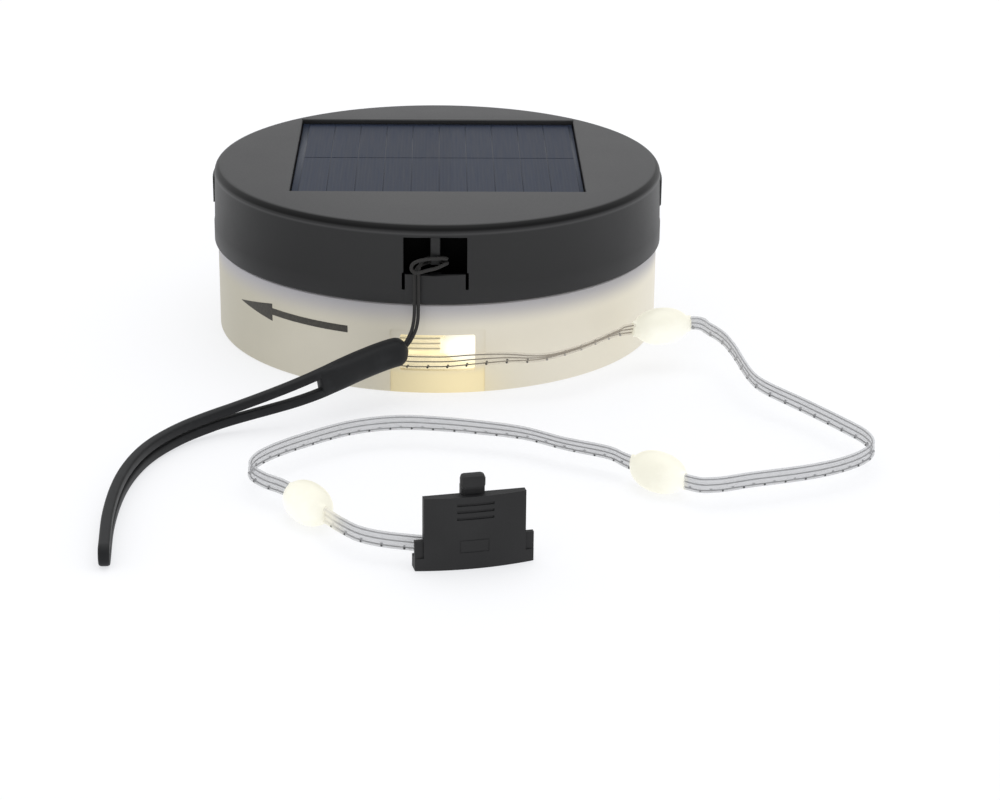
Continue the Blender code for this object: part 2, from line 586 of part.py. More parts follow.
def build_chassis():
    """Chassis disc that closes the lid, its seal, and the screws that hold it."""
    chassis = turned("chassis_plate", [
        (CHASSIS_RADIUS, CHASSIS_TOP), (CHASSIS_RADIUS, CHASSIS_LOW),
        (CHASSIS_BORE, CHASSIS_LOW), (CHASSIS_BORE, CHASSIS_TOP)], "black_plastic",
        steps=INNER_STEPS)
    posts = [(x * BOARD_SCREW_AT[0], y * BOARD_SCREW_AT[1]) for x in (-1, 1) for y in (-1, 1)]
    for i, place in enumerate(posts):
        combine(chassis, cylinder(f"join_standoff_{i}", 2.4 * MM, CHASSIS_LOW + MM,
                                  BOARD_LOW - GAP, place, segments=16), "UNION")
        combine(chassis, cylinder(f"cut_standoff_{i}", PILOT_RADIUS,
                                  BOARD_LOW - BOARD_SCREW_DEPTH, BOARD_LOW + MM, place,
                                  segments=12))
        screw_piece(f"board_screw_{i + 1}", place, BOARD_TOP + GAP, -1, BOARD_SCREW_DEPTH)
    for i, place in enumerate(ring_places(LID_SCREW_RADIUS, 45, 4)):
        combine(chassis, cylinder(f"cut_lid_screw_{i}", PILOT_RADIUS, CHASSIS_LOW - MM,
                                  CHASSIS_TOP + MM, place, segments=12))
        screw_piece(f"lid_screw_{i + 1}", place, CHASSIS_LOW - GAP, 1, LID_SCREW_DEPTH)
    for i, place in enumerate(ring_places(SPOOL_SCREW_RADIUS, 90, 3)):
        combine(chassis, cylinder(f"cut_spool_screw_{i}", PILOT_RADIUS, CHASSIS_LOW - MM,
                                  CHASSIS_TOP + MM, place, segments=12))
        screw_piece(f"spool_screw_{i + 1}", place, CHASSIS_TOP + GAP, -1, SPOOL_SCREW_DEPTH)
    seal_low = CHASSIS_TOP + GAP
    seal_outer = LID_INNER - GAP
    turned("chassis_seal", [(seal_outer, seal_low + SEAL_THICK), (seal_outer, seal_low),
                            (SEAL_INNER, seal_low), (SEAL_INNER, seal_low + SEAL_THICK)],
           "soft_rubber", steps=INNER_STEPS)
    return posts


def build_electronics(posts):
    """Battery in the hub, board on the chassis, switch, port and the leads between them."""
    length, width, height = BATTERY
    pad_low = HUB_FLOOR + GAP
    low = pad_low + BATTERY_PAD_THICK + GAP
    box("battery_pad", (-length / 2, -width / 2, pad_low),
        (length / 2, width / 2, pad_low + BATTERY_PAD_THICK), "foam")
    box("battery_cell", (-length / 2, -width / 2, low), (length / 2, width / 2, low + height),
        "battery_foil", round_by=1.2 * MM)
    board = box("circuit_board", (-BOARD_HALF_LENGTH, -BOARD_HALF_WIDTH, BOARD_LOW),
                (BOARD_HALF_LENGTH, BOARD_HALF_WIDTH, BOARD_TOP), "circuit_board")
    for i, place in enumerate(posts):
        combine(board, cylinder(f"cut_board_{i}", PILOT_RADIUS, BOARD_LOW - MM,
                                BOARD_TOP + MM, place, segments=12))
    part_low = BOARD_TOP + GAP
    box("usb_port", (PORT_FACE_X - PORT_SIZE[0], -PORT_SIZE[1] / 2, part_low),
        (PORT_FACE_X, PORT_SIZE[1] / 2, part_low + PORT_SIZE[2]), "steel", round_by=0.8 * MM)
    switch = box("tact_switch", (SWITCH_FACE_X + 1.6 * MM, -3 * MM, part_low),
                 (SWITCH_FACE_X + 5.1 * MM, 3 * MM, part_low + 3.3 * MM), "black_plastic")
    combine(switch, cylinder("join_plunger", 1.0 * MM, SWITCH_FACE_X, SWITCH_FACE_X + 2 * MM,
                             (0.0, part_low + 1.6 * MM), segments=16, along="X"), "UNION")
    tube("panel_lead", smooth_route(millimetres(PANEL_LEAD), 2 * MM), LEAD_RADIUS, "cord_fibre")
    tube("battery_lead", smooth_route(millimetres(BATTERY_LEAD), 2.5 * MM), LEAD_RADIUS,
         "cord_fibre")
    tube("string_lead", smooth_route(millimetres(STRING_LEAD), 2.5 * MM), LEAD_RADIUS,
         "string_pvc")


def bead_axis(name):
    """Middle of a bead and the unit direction of its axis."""
    middle, angle = BEADS[name]
    turn = math.radians(angle)
    return Vector(middle), Vector((math.cos(turn), math.sin(turn), 0.0))


def bead_end(name, side):
    """Where the string meets a bead: side is -1 or 1 along its axis."""
    middle, along = bead_axis(name)
    return middle + along * side * (BEAD_LENGTH / 2 + BEAD_LEAD)


def bead_piece(name, middle, angle):
    """An egg-shaped bead moulded round the string."""
    bm = bmesh.new()
    bmesh.ops.create_uvsphere(bm, u_segments=16, v_segments=10, radius=1.0)
    stretch = Matrix.Diagonal((BEAD_RADIUS, BEAD_RADIUS, BEAD_LENGTH / 2, 1.0))
    bmesh.ops.transform(bm, matrix=Matrix.Rotation(math.pi / 2, 4, "Y") @ stretch,
                        verts=bm.verts)
    obj = add_object(name, mesh_from(bm, name), "bead_pvc")
    shade(obj.data)
    obj.location = middle
    obj.rotation_euler = (0.0, 0.0, math.radians(angle))
    return obj


def clip_point(across, back, up):
    """A point of the end clip's own frame in the world."""
    turn = Matrix.Rotation(math.radians(CLIP_TURN), 3, "Z")
    return Vector((*CLIP_PLACE, 0.0)) + turn @ Vector((across, back, up))


def build_string():
    """The wound string, the four free runs, the beads and the end clip."""
    wound_inner = HUB_RADIUS + WOUND_CLEAR
    wound_low = FLANGE_LOW + FLANGE_THICK + GAP
    turned("wound_string", [(WOUND_OUTER, wound_low + WOUND_HEIGHT), (WOUND_OUTER, wound_low),
                            (wound_inner, wound_low), (wound_inner, wound_low + WOUND_HEIGHT)],
           "string_pvc", steps=INNER_STEPS)
    for name, (middle, angle) in BEADS.items():
        bead_piece(name, middle, angle)
    turn = math.radians(SPOOL_BEAD_ANGLE)
    spool_middle = (SPOOL_BEAD_RADIUS * math.cos(turn), SPOOL_BEAD_RADIUS * math.sin(turn),
                    wound_low + BEAD_RADIUS)
    bead_piece("spool_bead", spool_middle, SPOOL_BEAD_ANGLE + 90)
    clip_entry = clip_point(-CLIP_PLUG[0] / 2 - GAP, CLIP_STRING_Y, 5.0 * MM)
    routes = {
        "string_run_1": outside(RUN_1) + [bead_end("light_bead_1", -1)],
        "string_run_2": ([bead_end("light_bead_1", 1)] + outside(RUN_2)
                         + [bead_end("light_bead_2", 1)]),
        "string_run_3": ([bead_end("light_bead_2", -1)] + outside(RUN_3)
                         + [bead_end("light_bead_3", -1)]),
        "string_run_4": [bead_end("light_bead_3", 1)] + outside(RUN_4) + [clip_entry],
    }
    for name, route in routes.items():
        tube(name, smooth_route(route, STRING_SPACING), STRING_TUBE, "string_pvc")


def build_clip():
    """End clip that closes the window: bowed plate, plug, foot bar, ears and nub."""
    half, bar = CLIP_WIDTH / 2, CLIP_BAR_WIDTH / 2
    clip = box("end_clip", (-half, -MM, 0.2 * MM), (half, CLIP_PLATE, CLIP_HEIGHT),
               "black_plastic")
    combine(clip, box("join_clip_bar", (-bar, -MM, 0.1 * MM),
                      (bar, CLIP_BAR_DEPTH, CLIP_BAR_HEIGHT)), "UNION")
    thick, ear_depth, ear_top = CLIP_EAR
    for side in (-1, 1):
        near, far = sorted((side * bar, side * (bar - thick)))
        combine(clip, box(f"join_clip_ear_{side + 1}", (near, 1.5 * MM, 0.5 * MM),
                          (far, 1.5 * MM + ear_depth, ear_top)), "UNION")
    plug_half = CLIP_PLUG[0] / 2
    combine(clip, box("join_clip_plug", (-plug_half, CLIP_PLATE - 0.5 * MM, CLIP_PLUG_LOW),
                      (plug_half, CLIP_PLATE + CLIP_PLUG[1], CLIP_PLUG_LOW + CLIP_PLUG[2])),
            "UNION")
    nub_half = CLIP_NUB[0] / 2
    combine(clip, box("join_clip_nub", (-nub_half, 0.6 * MM, CLIP_HEIGHT - 4 * MM),
                      (nub_half, 0.6 * MM + CLIP_NUB[1], CLIP_HEIGHT + CLIP_NUB[2]),
                      round_by=0.8 * MM), "UNION")
    bow = cylinder("shape_clip", LID_RADIUS, -2 * MM, CLIP_HEIGHT + 9 * MM, (0.0, LID_RADIUS),
                   segments=128)
    combine(clip, bow, "INTERSECT")
    for obj in [clip] + [mod.object for mod in clip.modifiers]:
        obj.matrix_world = (Matrix.Translation((*CLIP_PLACE, 0.0))
                            @ Matrix.Rotation(math.radians(CLIP_TURN), 4, "Z"))
    return clip


def build_lanyard():
    """Doubled cord from the post, and the strap: a grip that forks into a band loop."""
    tube("lanyard_cord", smooth_route(outside(CORD_ROUTE), 3 * MM), CORD_TUBE, "cord_fibre")
    spine = smooth_route(outside(STRAP_ROUTE), 5 * MM)
    lengths = [0.0]
    for a, b in zip(spine, spine[1:]):
        lengths.append(lengths[-1] + (b - a).length)
    grip = [p for p, at in zip(spine, lengths) if at <= GRIP_LENGTH]
    upper, lower = [], []
    for point, at in zip(spine, lengths):
        if at < GRIP_LENGTH - 4 * MM:
            continue
        share = min(1.0, max(0.0, (at - GRIP_LENGTH) / GRIP_LENGTH))
        apart = FORK_APART + (BAND_APART - FORK_APART) * share
        upper.append(point + Vector((0.0, 0.0, apart)))
        lower.append(point - Vector((0.0, 0.0, apart)))
    forward = (spine[-1] - spine[-2]).normalized()
    tip = spine[-1] + forward * BAND_APART
    strap = tube("lanyard_strap", grip, GRIP_RADIUS, "soft_rubber", as_mesh=True)
    loop = tube("join_bands", upper + [tip] + lower[::-1], BAND_RADIUS, as_mesh=True)
    combine(strap, loop, "UNION")
    return strap


def main():
    """Build every piece of the string lights."""
    build_shell()
    build_lid()
    build_panel()
    build_side_pieces()
    build_spool()
    posts = build_chassis()
    build_electronics(posts)
    build_string()
    build_clip()
    build_lanyard()


main()
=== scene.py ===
"""Looks of the solar string lights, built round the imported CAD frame.

Each class below is one sub-assembly: it holds its sizes in metres as fields, builds its meshes
in the frame's own coordinates, dresses them and lets them ride on a CAD body.
"""

import logging
import math
from collections.abc import Sequence
from dataclasses import dataclass, field
from enum import Enum
from typing import Self

import bmesh
import bpy
import numpy as np
from mathutils import Matrix, Vector


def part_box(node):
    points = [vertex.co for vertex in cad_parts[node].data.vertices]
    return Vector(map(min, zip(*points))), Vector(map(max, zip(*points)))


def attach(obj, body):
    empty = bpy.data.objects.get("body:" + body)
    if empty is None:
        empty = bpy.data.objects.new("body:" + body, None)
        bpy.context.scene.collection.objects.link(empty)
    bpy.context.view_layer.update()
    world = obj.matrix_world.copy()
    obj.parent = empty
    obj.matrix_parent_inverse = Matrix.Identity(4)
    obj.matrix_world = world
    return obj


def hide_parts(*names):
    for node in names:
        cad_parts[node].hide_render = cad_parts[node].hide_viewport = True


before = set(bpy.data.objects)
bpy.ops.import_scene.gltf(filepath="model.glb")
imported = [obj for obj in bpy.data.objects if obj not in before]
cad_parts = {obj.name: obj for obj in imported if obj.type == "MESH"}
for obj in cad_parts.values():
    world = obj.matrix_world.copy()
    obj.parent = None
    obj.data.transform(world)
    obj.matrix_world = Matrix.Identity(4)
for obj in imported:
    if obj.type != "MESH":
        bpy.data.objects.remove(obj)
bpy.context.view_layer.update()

LOG = logging.getLogger("string_lights")
MM = 0.001
Colour = tuple[float, float, float]
Point = Sequence[float]


class Body(str, Enum):
    """The CAD bodies that pieces ride on."""

    BASE = "base"
    LID = "lid"
    BUTTON = "button"
    COVER = "cover"


class Slot(str, Enum):
    """The record's material slots, passed along with each new piece."""

    PLASTIC = "black_plastic"
    CELL = "solar_cell"
    MILKY = "frosted_plastic"
    RUBBER = "soft_rubber"
    LENS = "clear_lens"
    STRING = "string_pvc"
    BEAD = "bead_pvc"
    CORD = "cord_fibre"


# ---------------------------------------------------------------- materials


class Num:
    """A number flowing through a material; Python's operators add its Math nodes."""

    def __init__(self, tree: "Tree", socket: bpy.types.NodeSocket) -> None:
        """Keep the tree that the number belongs to and the socket it leaves by."""
        self.tree = tree
        self.socket = socket

    def __add__(self, other: "Num | float") -> "Num":
        """Sum."""
        return self.tree.math("ADD", self, other)

    def __radd__(self, other: float) -> "Num":
        """Sum with a plain number first."""
        return self.tree.math("ADD", other, self)

    def __sub__(self, other: "Num | float") -> "Num":
        """Difference."""
        return self.tree.math("SUBTRACT", self, other)

    def __rsub__(self, other: float) -> "Num":
        """Difference with a plain number first."""
        return self.tree.math("SUBTRACT", other, self)

    def __mul__(self, other: "Num | float") -> "Num":
        """Product."""
        return self.tree.math("MULTIPLY", self, other)

    def __truediv__(self, other: "Num | float") -> "Num":
        """Quotient."""
        return self.tree.math("DIVIDE", self, other)

    def __pow__(self, other: "Num | float") -> "Num":
        """Power."""
        return self.tree.math("POWER", self, other)

    def __neg__(self) -> "Num":
        """Opposite number."""
        return self.tree.math("MULTIPLY", self, -1.0)

    def __abs__(self) -> "Num":
        """Size without its sign."""
        return self.tree.math("ABSOLUTE", self)

    def floor(self) -> "Num":
        """Whole part, rounded down."""
        return self.tree.math("FLOOR", self)

    def fract(self) -> "Num":
        """Part after the whole number."""
        return self.tree.math("FRACT", self)

    def sine(self) -> "Num":
        """Sine of an angle in radians."""
        return self.tree.math("SINE", self)

    def hill(self, middle: float, reach: float) -> "Num":
        """A smooth bump of height 1 at a middle value, gone a few reaches away."""
        off = (self - middle) / reach
        return self.tree.math("EXPONENT", -(off * off))

    def rise(self, start: float, end: float) -> "Num":
        """A smooth step from 0 at start to 1 at end."""
        made = self.tree.node(
            "ShaderNodeMapRange", {"interpolation_type": "SMOOTHSTEP"},
            {"Value": self, "From Min": start, "From Max": end})
        return Num(self.tree, made.outputs["Result"])


class Tree:
    """The node tree of one material, with a Principled shader on its output."""

    def __init__(self, name: str) -> None:
        """Start an empty material.

        Args:
            name: the material's name.
        """
        self.material = bpy.data.materials.new(name)
        self.material.use_nodes = True
        self.nodes = self.material.node_tree.nodes
        self.links = self.material.node_tree.links
        self.nodes.clear()
        self.shader = self.nodes.new("ShaderNodeBsdfPrincipled")
        output = self.nodes.new("ShaderNodeOutputMaterial")
        self.links.new(self.shader.outputs["BSDF"], output.inputs["Surface"])

    def feed(self, socket: bpy.types.NodeSocket, value: object) -> None:
        """Give a socket its value, or link it to what makes the value."""
        if isinstance(value, Num):
            self.links.new(value.socket, socket)
        elif isinstance(value, bpy.types.NodeSocket):
            self.links.new(value, socket)
        elif socket.type == "RGBA" and len(value) == 3:
            socket.default_value = (*value, 1.0)
        else:
            socket.default_value = value

    def node(self, kind: str, settings: dict[str, object] | None = None,
             values: dict[str | int, object] | None = None) -> bpy.types.Node:
        """Add a node.

        Args:
            kind: the node's type.
            settings: its own settings, set first; "stops" are a ramp's places and colours.
            values: what its sockets hold or are linked to, by name or number.

        Returns:
            The new node.
        """
        made = self.nodes.new(kind)
        for key, value in (settings or {}).items():
            if key == "stops":
                ramp = made.color_ramp
                while len(ramp.elements) < len(value):
                    ramp.elements.new(0.5)
                for element, (place, colour) in zip(ramp.elements, value):
                    element.position = place
                    element.color = (*colour, 1.0)
            else:
                setattr(made, key, value)
        for name, value in (values or {}).items():
            self.feed(made.inputs[name], value)
        return made

    def math(self, operation: str, *values: "Num | float") -> Num:
        """Add a Math node and return its result."""
        made = self.node("ShaderNodeMath", {"operation": operation}, dict(enumerate(values)))
        return Num(self, made.outputs[0])

    def set(self, **values: object) -> None:
        """Fill the Principled shader's sockets; an underscore stands for a space."""
        for name, value in values.items():
            self.feed(self.shader.inputs[name.replace("_", " ")], value)

    def place(self) -> bpy.types.NodeSocket:
        """The point's place in the frame, in metres."""
        return self.node("ShaderNodeTexCoord").outputs["Object"]

    def axes(self) -> tuple[Num, Num, Num]:
        """The point's place in the frame, in millimetres, as three numbers."""
        split = self.node("ShaderNodeSeparateXYZ", None, {"Vector": self.place()})
        return tuple(Num(self, split.outputs[axis]) * 1000.0 for axis in "XYZ")

    def uv(self) -> tuple[Num, Num]:
        """The piece's own coordinates: round or across it, and millimetres along it.

        Returns:
            The coordinate round or across, and the one along.
        """
        source = self.node("ShaderNodeUVMap", {"uv_map": "along"})
        split = self.node("ShaderNodeSeparateXYZ", None, {"Vector": source.outputs["UV"]})
        return Num(self, split.outputs["X"]), Num(self, split.outputs["Y"])

    def attribute(self, name: str) -> Num:
        """A number stored on the piece's points."""
        made = self.node("ShaderNodeAttribute", {"attribute_name": name})
        return Num(self, made.outputs["Fac"])

    def noise(self, grain: float, detail: float = 2.0,
              stretch: Point = (1.0, 1.0, 1.0)) -> Num:
        """Cloudy noise about 0.5.

        Args:
            grain: the size of its patches, in millimetres.
            detail: how many finer layers it has.
            stretch: how many times finer it is along each axis.

        Returns:
            The noise.
        """
        turned = self.node("ShaderNodeMapping", {"vector_type": "POINT"},
                           {"Vector": self.place(), "Scale": tuple(stretch)})
        made = self.node("ShaderNodeTexNoise", None, {
            "Vector": turned.outputs[0], "Scale": 1000.0 / grain, "Detail": detail})
        return Num(self, made.outputs["Fac"])

    def cells(self, grain: float) -> Num:
        """Distance to the nearest of many scattered points a grain of millimetres apart."""
        made = self.node("ShaderNodeTexVoronoi", {"feature": "F1"},
                         {"Vector": self.place(), "Scale": 1000.0 / grain})
        return Num(self, made.outputs["Distance"])

    def blend(self, share: Num, first: object, second: object) -> bpy.types.NodeSocket:
        """A colour between two, by a share from 0 to 1."""
        made = self.node("ShaderNodeMix", {"data_type": "RGBA", "clamp_factor": True},
                         {0: share, 6: first, 7: second})
        return made.outputs[2]

    def bump(self, height: Num, depth: float) -> bpy.types.NodeSocket:
        """A normal from a height between 0 and 1 that stands for a depth in millimetres."""
        made = self.node("ShaderNodeBump", None, {
            "Height": height, "Distance": depth * MM, "Strength": 1.0})
        return made.outputs["Normal"]


@dataclass(frozen=True)
class Finish:
    """A material that pieces wear."""

    name: str

    def material(self) -> bpy.types.Material:
        """The finish's material, painted once.

        Returns:
            The material.
        """
        found = bpy.data.materials.get(self.name)
        if found:
            return found
        tree = Tree(self.name)
        self.paint(tree)
        return tree.material

    def paint(self, tree: Tree) -> None:
        """Fill the material's tree."""
        raise NotImplementedError


@dataclass(frozen=True)
class MouldedPlastic(Finish):
    """Black plastic from an eroded mould: a fine even grain under a satin sheen."""

    colour: Colour = (0.022, 0.022, 0.024)
    roughness: float = 0.46
    grain: float = 0.35
    depth: float = 0.012
    shine: float = 0.5

    def tone(self, tree: Tree, cloud: Num) -> bpy.types.NodeSocket:
        """The plastic's colour: faint flow clouds."""
        pale = tuple(1.35 * c for c in self.colour)
        return tree.blend(cloud.rise(0.3, 0.75), self.colour, pale)

    def paint(self, tree: Tree) -> None:
        """Fine grain, faint flow clouds and a slightly uneven sheen.

        Args:
            tree: the material's node tree.
        """
        fine = tree.noise(self.grain, 3.0)
        cloud = tree.noise(14.0, 3.0)
        tree.set(Base_Color=self.tone(tree, cloud),
                 Roughness=self.roughness + (cloud - 0.5) * 0.10 + (fine - 0.5) * 0.10,
                 Normal=tree.bump(fine, self.depth), Specular_IOR_Level=self.shine)


@dataclass(frozen=True)
class LidPlastic(MouldedPlastic):
    """The cap's plastic: satin top, a side painted in shade, painted shade on the shoulder, in
    the pocket and on the left, and a painted highlight line.

    The spans are in millimetres: where a tone starts to change and where it has changed.
    """

    # Painted shade: the side colour is painted on the cap's wall below the top, darker than the
    # top.
    side: Colour = (0.0035, 0.0035, 0.004)
    # Painted highlight: rim is the lighter colour of a thin line just below the shoulder.
    rim: Colour = (0.030, 0.030, 0.031)
    top_heights: Point = (42.9, 44.4)
    post_x: float = -0.6
    post_sides: Point = (1.3, 1.6)
    post_backs: Point = (56.2, 56.5)
    pocket_radii: Point = (59.1, 59.6)
    pocket_tops: Point = (41.7, 41.9)
    pocket_sides: Point = (11.0, 12.0)
    pocket_backs: Point = (40.0, 45.0)
    shoulder_feet: Point = (42.9, 43.6)
    shoulder_tops: Point = (44.45, 44.68)
    shoulder_radii: Point = (57.4, 58.4)
    highlight_heights: Point = (42.5, 0.3)
    highlight_radii: Point = (59.0, 59.4)
    left_shade_places: Point = (12.0, 48.0)

    def paint(self, tree: Tree) -> None:
        """The moulded finish, with painted shade and a painted highlight by where it is on the
        cap.

        Args:
            tree: the material's node tree.
        """
        super().paint(tree)
        x, y, z = tree.axes()
        radius = (x * x + y * y) ** 0.5
        top = self.tone(tree, tree.noise(14.0, 3.0))
        # Painted shade: below the top the wall takes the darker side colour.
        shaded_flank = 1.0 - z.rise(*self.top_heights)
        post = 1.0 - abs(x - self.post_x).rise(*self.post_sides)
        post = post * (-y).rise(*self.post_backs)
        # Painted shade in the pocket: its inside is painted black, the post left out.
        pocket = (1.0 - radius.rise(*self.pocket_radii)) * (1.0 - z.rise(*self.pocket_tops))
        pocket = pocket * (1.0 - post) * (1.0 - abs(x).rise(*self.pocket_sides))
        pocket = pocket * (-y).rise(*self.pocket_backs)
        # Painted shade: a dark band on the rounded shoulder, where the reflection falls away.
        shoulder = z.rise(*self.shoulder_feet) * (1.0 - z.rise(*self.shoulder_tops))
        shoulder = shoulder * radius.rise(*self.shoulder_radii)
        # Painted highlight: a thin lighter line in the rim colour just below the shoulder.
        line = z.hill(*self.highlight_heights) * radius.rise(*self.highlight_radii)
        # The painted shade of the pocket and shoulder: black colour and metallic, which dulls
        # the sheen.
        dull = tree.math("MAXIMUM", pocket, shoulder * 0.78)
        plain = tree.blend(line, tree.blend(shaded_flank, top, self.side), self.rim)
        # Painted shade: the cap's left is darkened by turning it partly metallic.
        left = (-x).rise(*self.left_shade_places) * 0.26
        tree.set(Base_Color=tree.blend(dull, plain, (0.0, 0.0, 0.0)),
                 Metallic=tree.math("MAXIMUM", dull * 0.9, left))


@dataclass(frozen=True)
class Silicone(Finish):
    """Soft matt silicone with faint dust in its pores."""

    colour: Colour = (0.0095, 0.0100, 0.0110)
    roughness: float = 0.55

    def paint(self, tree: Tree) -> None:
        """Powdery skin with tiny pores.

        Args:
            tree: the material's node tree.
        """
        pores = tree.noise(0.25, 2.0)
        dust = tree.noise(5.0, 4.0)
        dusty = tuple(1.5 * c + 0.003 for c in self.colour)
        tree.set(Base_Color=tree.blend(dust.rise(0.45, 0.8), self.colour, dusty),
                 Roughness=self.roughness + (dust - 0.5) * 0.14,
                 Normal=tree.bump(pores, 0.01), Sheen_Weight=0.02,
                 Specular_IOR_Level=0.22)


@dataclass(frozen=True)
class SolarCells(Finish):
    """Blue silicon cells with fine finger lines, under a clear laminate."""

    dark: Colour = (0.007, 0.012, 0.028)
    light: Colour = (0.020, 0.028, 0.051)
    pitch: float = 7.35
    finger: float = 0.92

    def paint(self, tree: Tree) -> None:
        """Cell tones, streaks along the cells and finger lines.

        Args:
            tree: the material's node tree.
        """
        x, _, _ = tree.axes()
        column = ((x + 3.6) / self.pitch).floor()
        tone = ((column * 12.9898).sine() * 43.7).fract()
        streak = tree.noise(2.4, 3.0, (4.0, 0.12, 1.0))
        lines = ((x / self.finger).fract() - 0.5) * 2.0
        line = abs(lines).rise(0.62, 0.95)
        share = tone * 0.22 + streak.rise(0.30, 0.70) * 0.65 + line * 0.26
        tree.set(Base_Color=tree.blend(share, self.dark, self.light),
                 Roughness=0.34 + (streak - 0.5) * 0.25, Specular_IOR_Level=0.055)


@dataclass(frozen=True)
class CellBacking(Finish):
    """Dark laminate between and round the cells, its frame a shade lighter."""

    colour: Colour = (0.010, 0.014, 0.025)
    edge: Colour = (0.017, 0.025, 0.045)
    cells_x: float = 0.35
    edge_places: Point = (36.8, 36.9)

    def paint(self, tree: Tree) -> None:
        """Even dark sheet with a faint weave under a clear face.

        Args:
            tree: the material's node tree.
        """
        x, y, _ = tree.axes()
        weave = ((x * 5.2).sine() + (y * 5.2).sine()) * 0.25 + 0.5
        sheet = tree.blend(weave, self.colour, tuple(1.5 * c for c in self.colour))
        edge = abs(x - self.cells_x).rise(*self.edge_places)
        tree.set(Base_Color=tree.blend(edge, sheet, self.edge),
                 Roughness=0.30 + (weave - 0.5) * 0.06, Specular_IOR_Level=0.08)


@dataclass(frozen=True)
class MilkyGlow(Finish):
    """Frosted shell with a painted glow of the lamps inside: warm by the window, painted shade
    under the lid.

    Spans are in millimetres or, round the drum, in radians from its front: where a tone starts
    to change and where it has changed. Spots are given by their middle and their reach.
    """

    plain: Colour = (0.56, 0.53, 0.44)
    shaded: Colour = (0.435, 0.41, 0.325)
    under_lid_shade: Colour = (0.40, 0.39, 0.41)
    warm: Colour = (0.62, 0.55, 0.35)
    glow: Colour = (1.0, 0.80, 0.42)
    soft: Colour = (1.0, 0.93, 0.80)
    front: Point = (30.0, 50.0)
    behind: Point = (1.9, 3.1)
    right_turn: Point = (-0.35, 0.75)
    shade_turn: Point = (-1.1, -0.35)
    top_heights: Point = (17.0, 23.5)
    seat_sides: Point = (11.7, 12.2)
    seat_heights: Point = (4.5, 8.5)
    spot_x: Point = (2.0, 13.0)
    spot_z: Point = (1.0, 7.5)
    patch_x: Point = (6.0, 9.0)
    halo_x: Point = (5.0, 25.0)
    halo_z: Point = (13.0, 9.0)

    def paint(self, tree: Tree) -> None:
        """Glow of the lamps behind a cloudy wall.

        Args:
            tree: the material's node tree.
        """
        x, y, z = tree.axes()
        angle = tree.math("ARCTAN2", x, -y)
        cloud = tree.noise(16.0, 2.0)
        fine = tree.noise(0.5, 2.0)
        ahead = 1.0 - angle.rise(*self.behind)
        # Painted light: the right of the drum glows brighter and the left takes the shaded
        # colour.
        right = angle.rise(*self.right_turn) * ahead
        front = (-y).rise(*self.front)
        # Painted pools of lamplight: a warm spot by the window, the clip seat with a brighter
        # patch, and a halo.
        spot = x.hill(*self.spot_x) * z.hill(*self.spot_z) * front
        seat = 1.0 - abs(x).rise(*self.seat_sides)
        seat = seat * (1.0 - z.rise(*self.seat_heights)) * front
        patch = seat * (x.hill(*self.patch_x) * 0.5 + 0.6)
        # Painted shade under the lid: near the top the wall turns dim grey and loses most of its
        # glow.
        top = z.rise(*self.top_heights)
        side = angle.rise(*self.shade_turn) * ahead
        wall = tree.blend(side, self.shaded, self.plain)
        lamp_lit = tree.blend(tree.math("MAXIMUM", spot, seat), wall, self.warm)
        colour = tree.blend(top, lamp_lit, self.under_lid_shade)
        strength = (0.05 + right * 0.18 + (cloud - 0.5) * 0.05) * (1.0 - top * 0.85)
        halo = x.hill(*self.halo_x) * z.hill(*self.halo_z) * front
        strength = strength + spot * 0.10 + patch * 0.12 + halo * 0.10
        white = tree.math("MAXIMUM", strength, 0.0)
        tint = tree.blend(tree.math("MINIMUM", spot + seat, 1.0), self.soft, self.glow)
        scaled = tree.node("ShaderNodeVectorMath", {"operation": "SCALE"},
                           {0: tint, "Scale": white})
        tree.set(Base_Color=colour, Roughness=0.50 + (cloud - 0.5) * 0.08,
                 Normal=tree.bump(fine, 0.008),
                 Emission_Color=scaled.outputs["Vector"], Emission_Strength=1.0)


@dataclass(frozen=True)
class BeadGlow(Finish):
    """Cloudy cast bead with a warm white chip inside."""

    edge: Colour = (0.60, 0.585, 0.50)
    heart: Colour = (0.64, 0.63, 0.56)
    dim: Colour = (0.345, 0.338, 0.285)
    bright: Colour = (0.455, 0.45, 0.40)

    def paint(self, tree: Tree) -> None:
        """Brighter where the lamp sits near the skin.

        Args:
            tree: the material's node tree.
        """
        near = tree.attribute("glow")
        cloud = tree.noise(2.5, 3.0)
        share = (near * 0.9 + (cloud - 0.5) * 0.5).rise(0.0, 1.0)
        light = tree.blend(share, self.dim, self.bright)
        tree.set(Base_Color=tree.blend(share, self.edge, self.heart),
                 Roughness=0.34 + (cloud - 0.5) * 0.12,
                 Normal=tree.bump(cloud, 0.08),
                 Emission_Color=light, Emission_Strength=1.0)


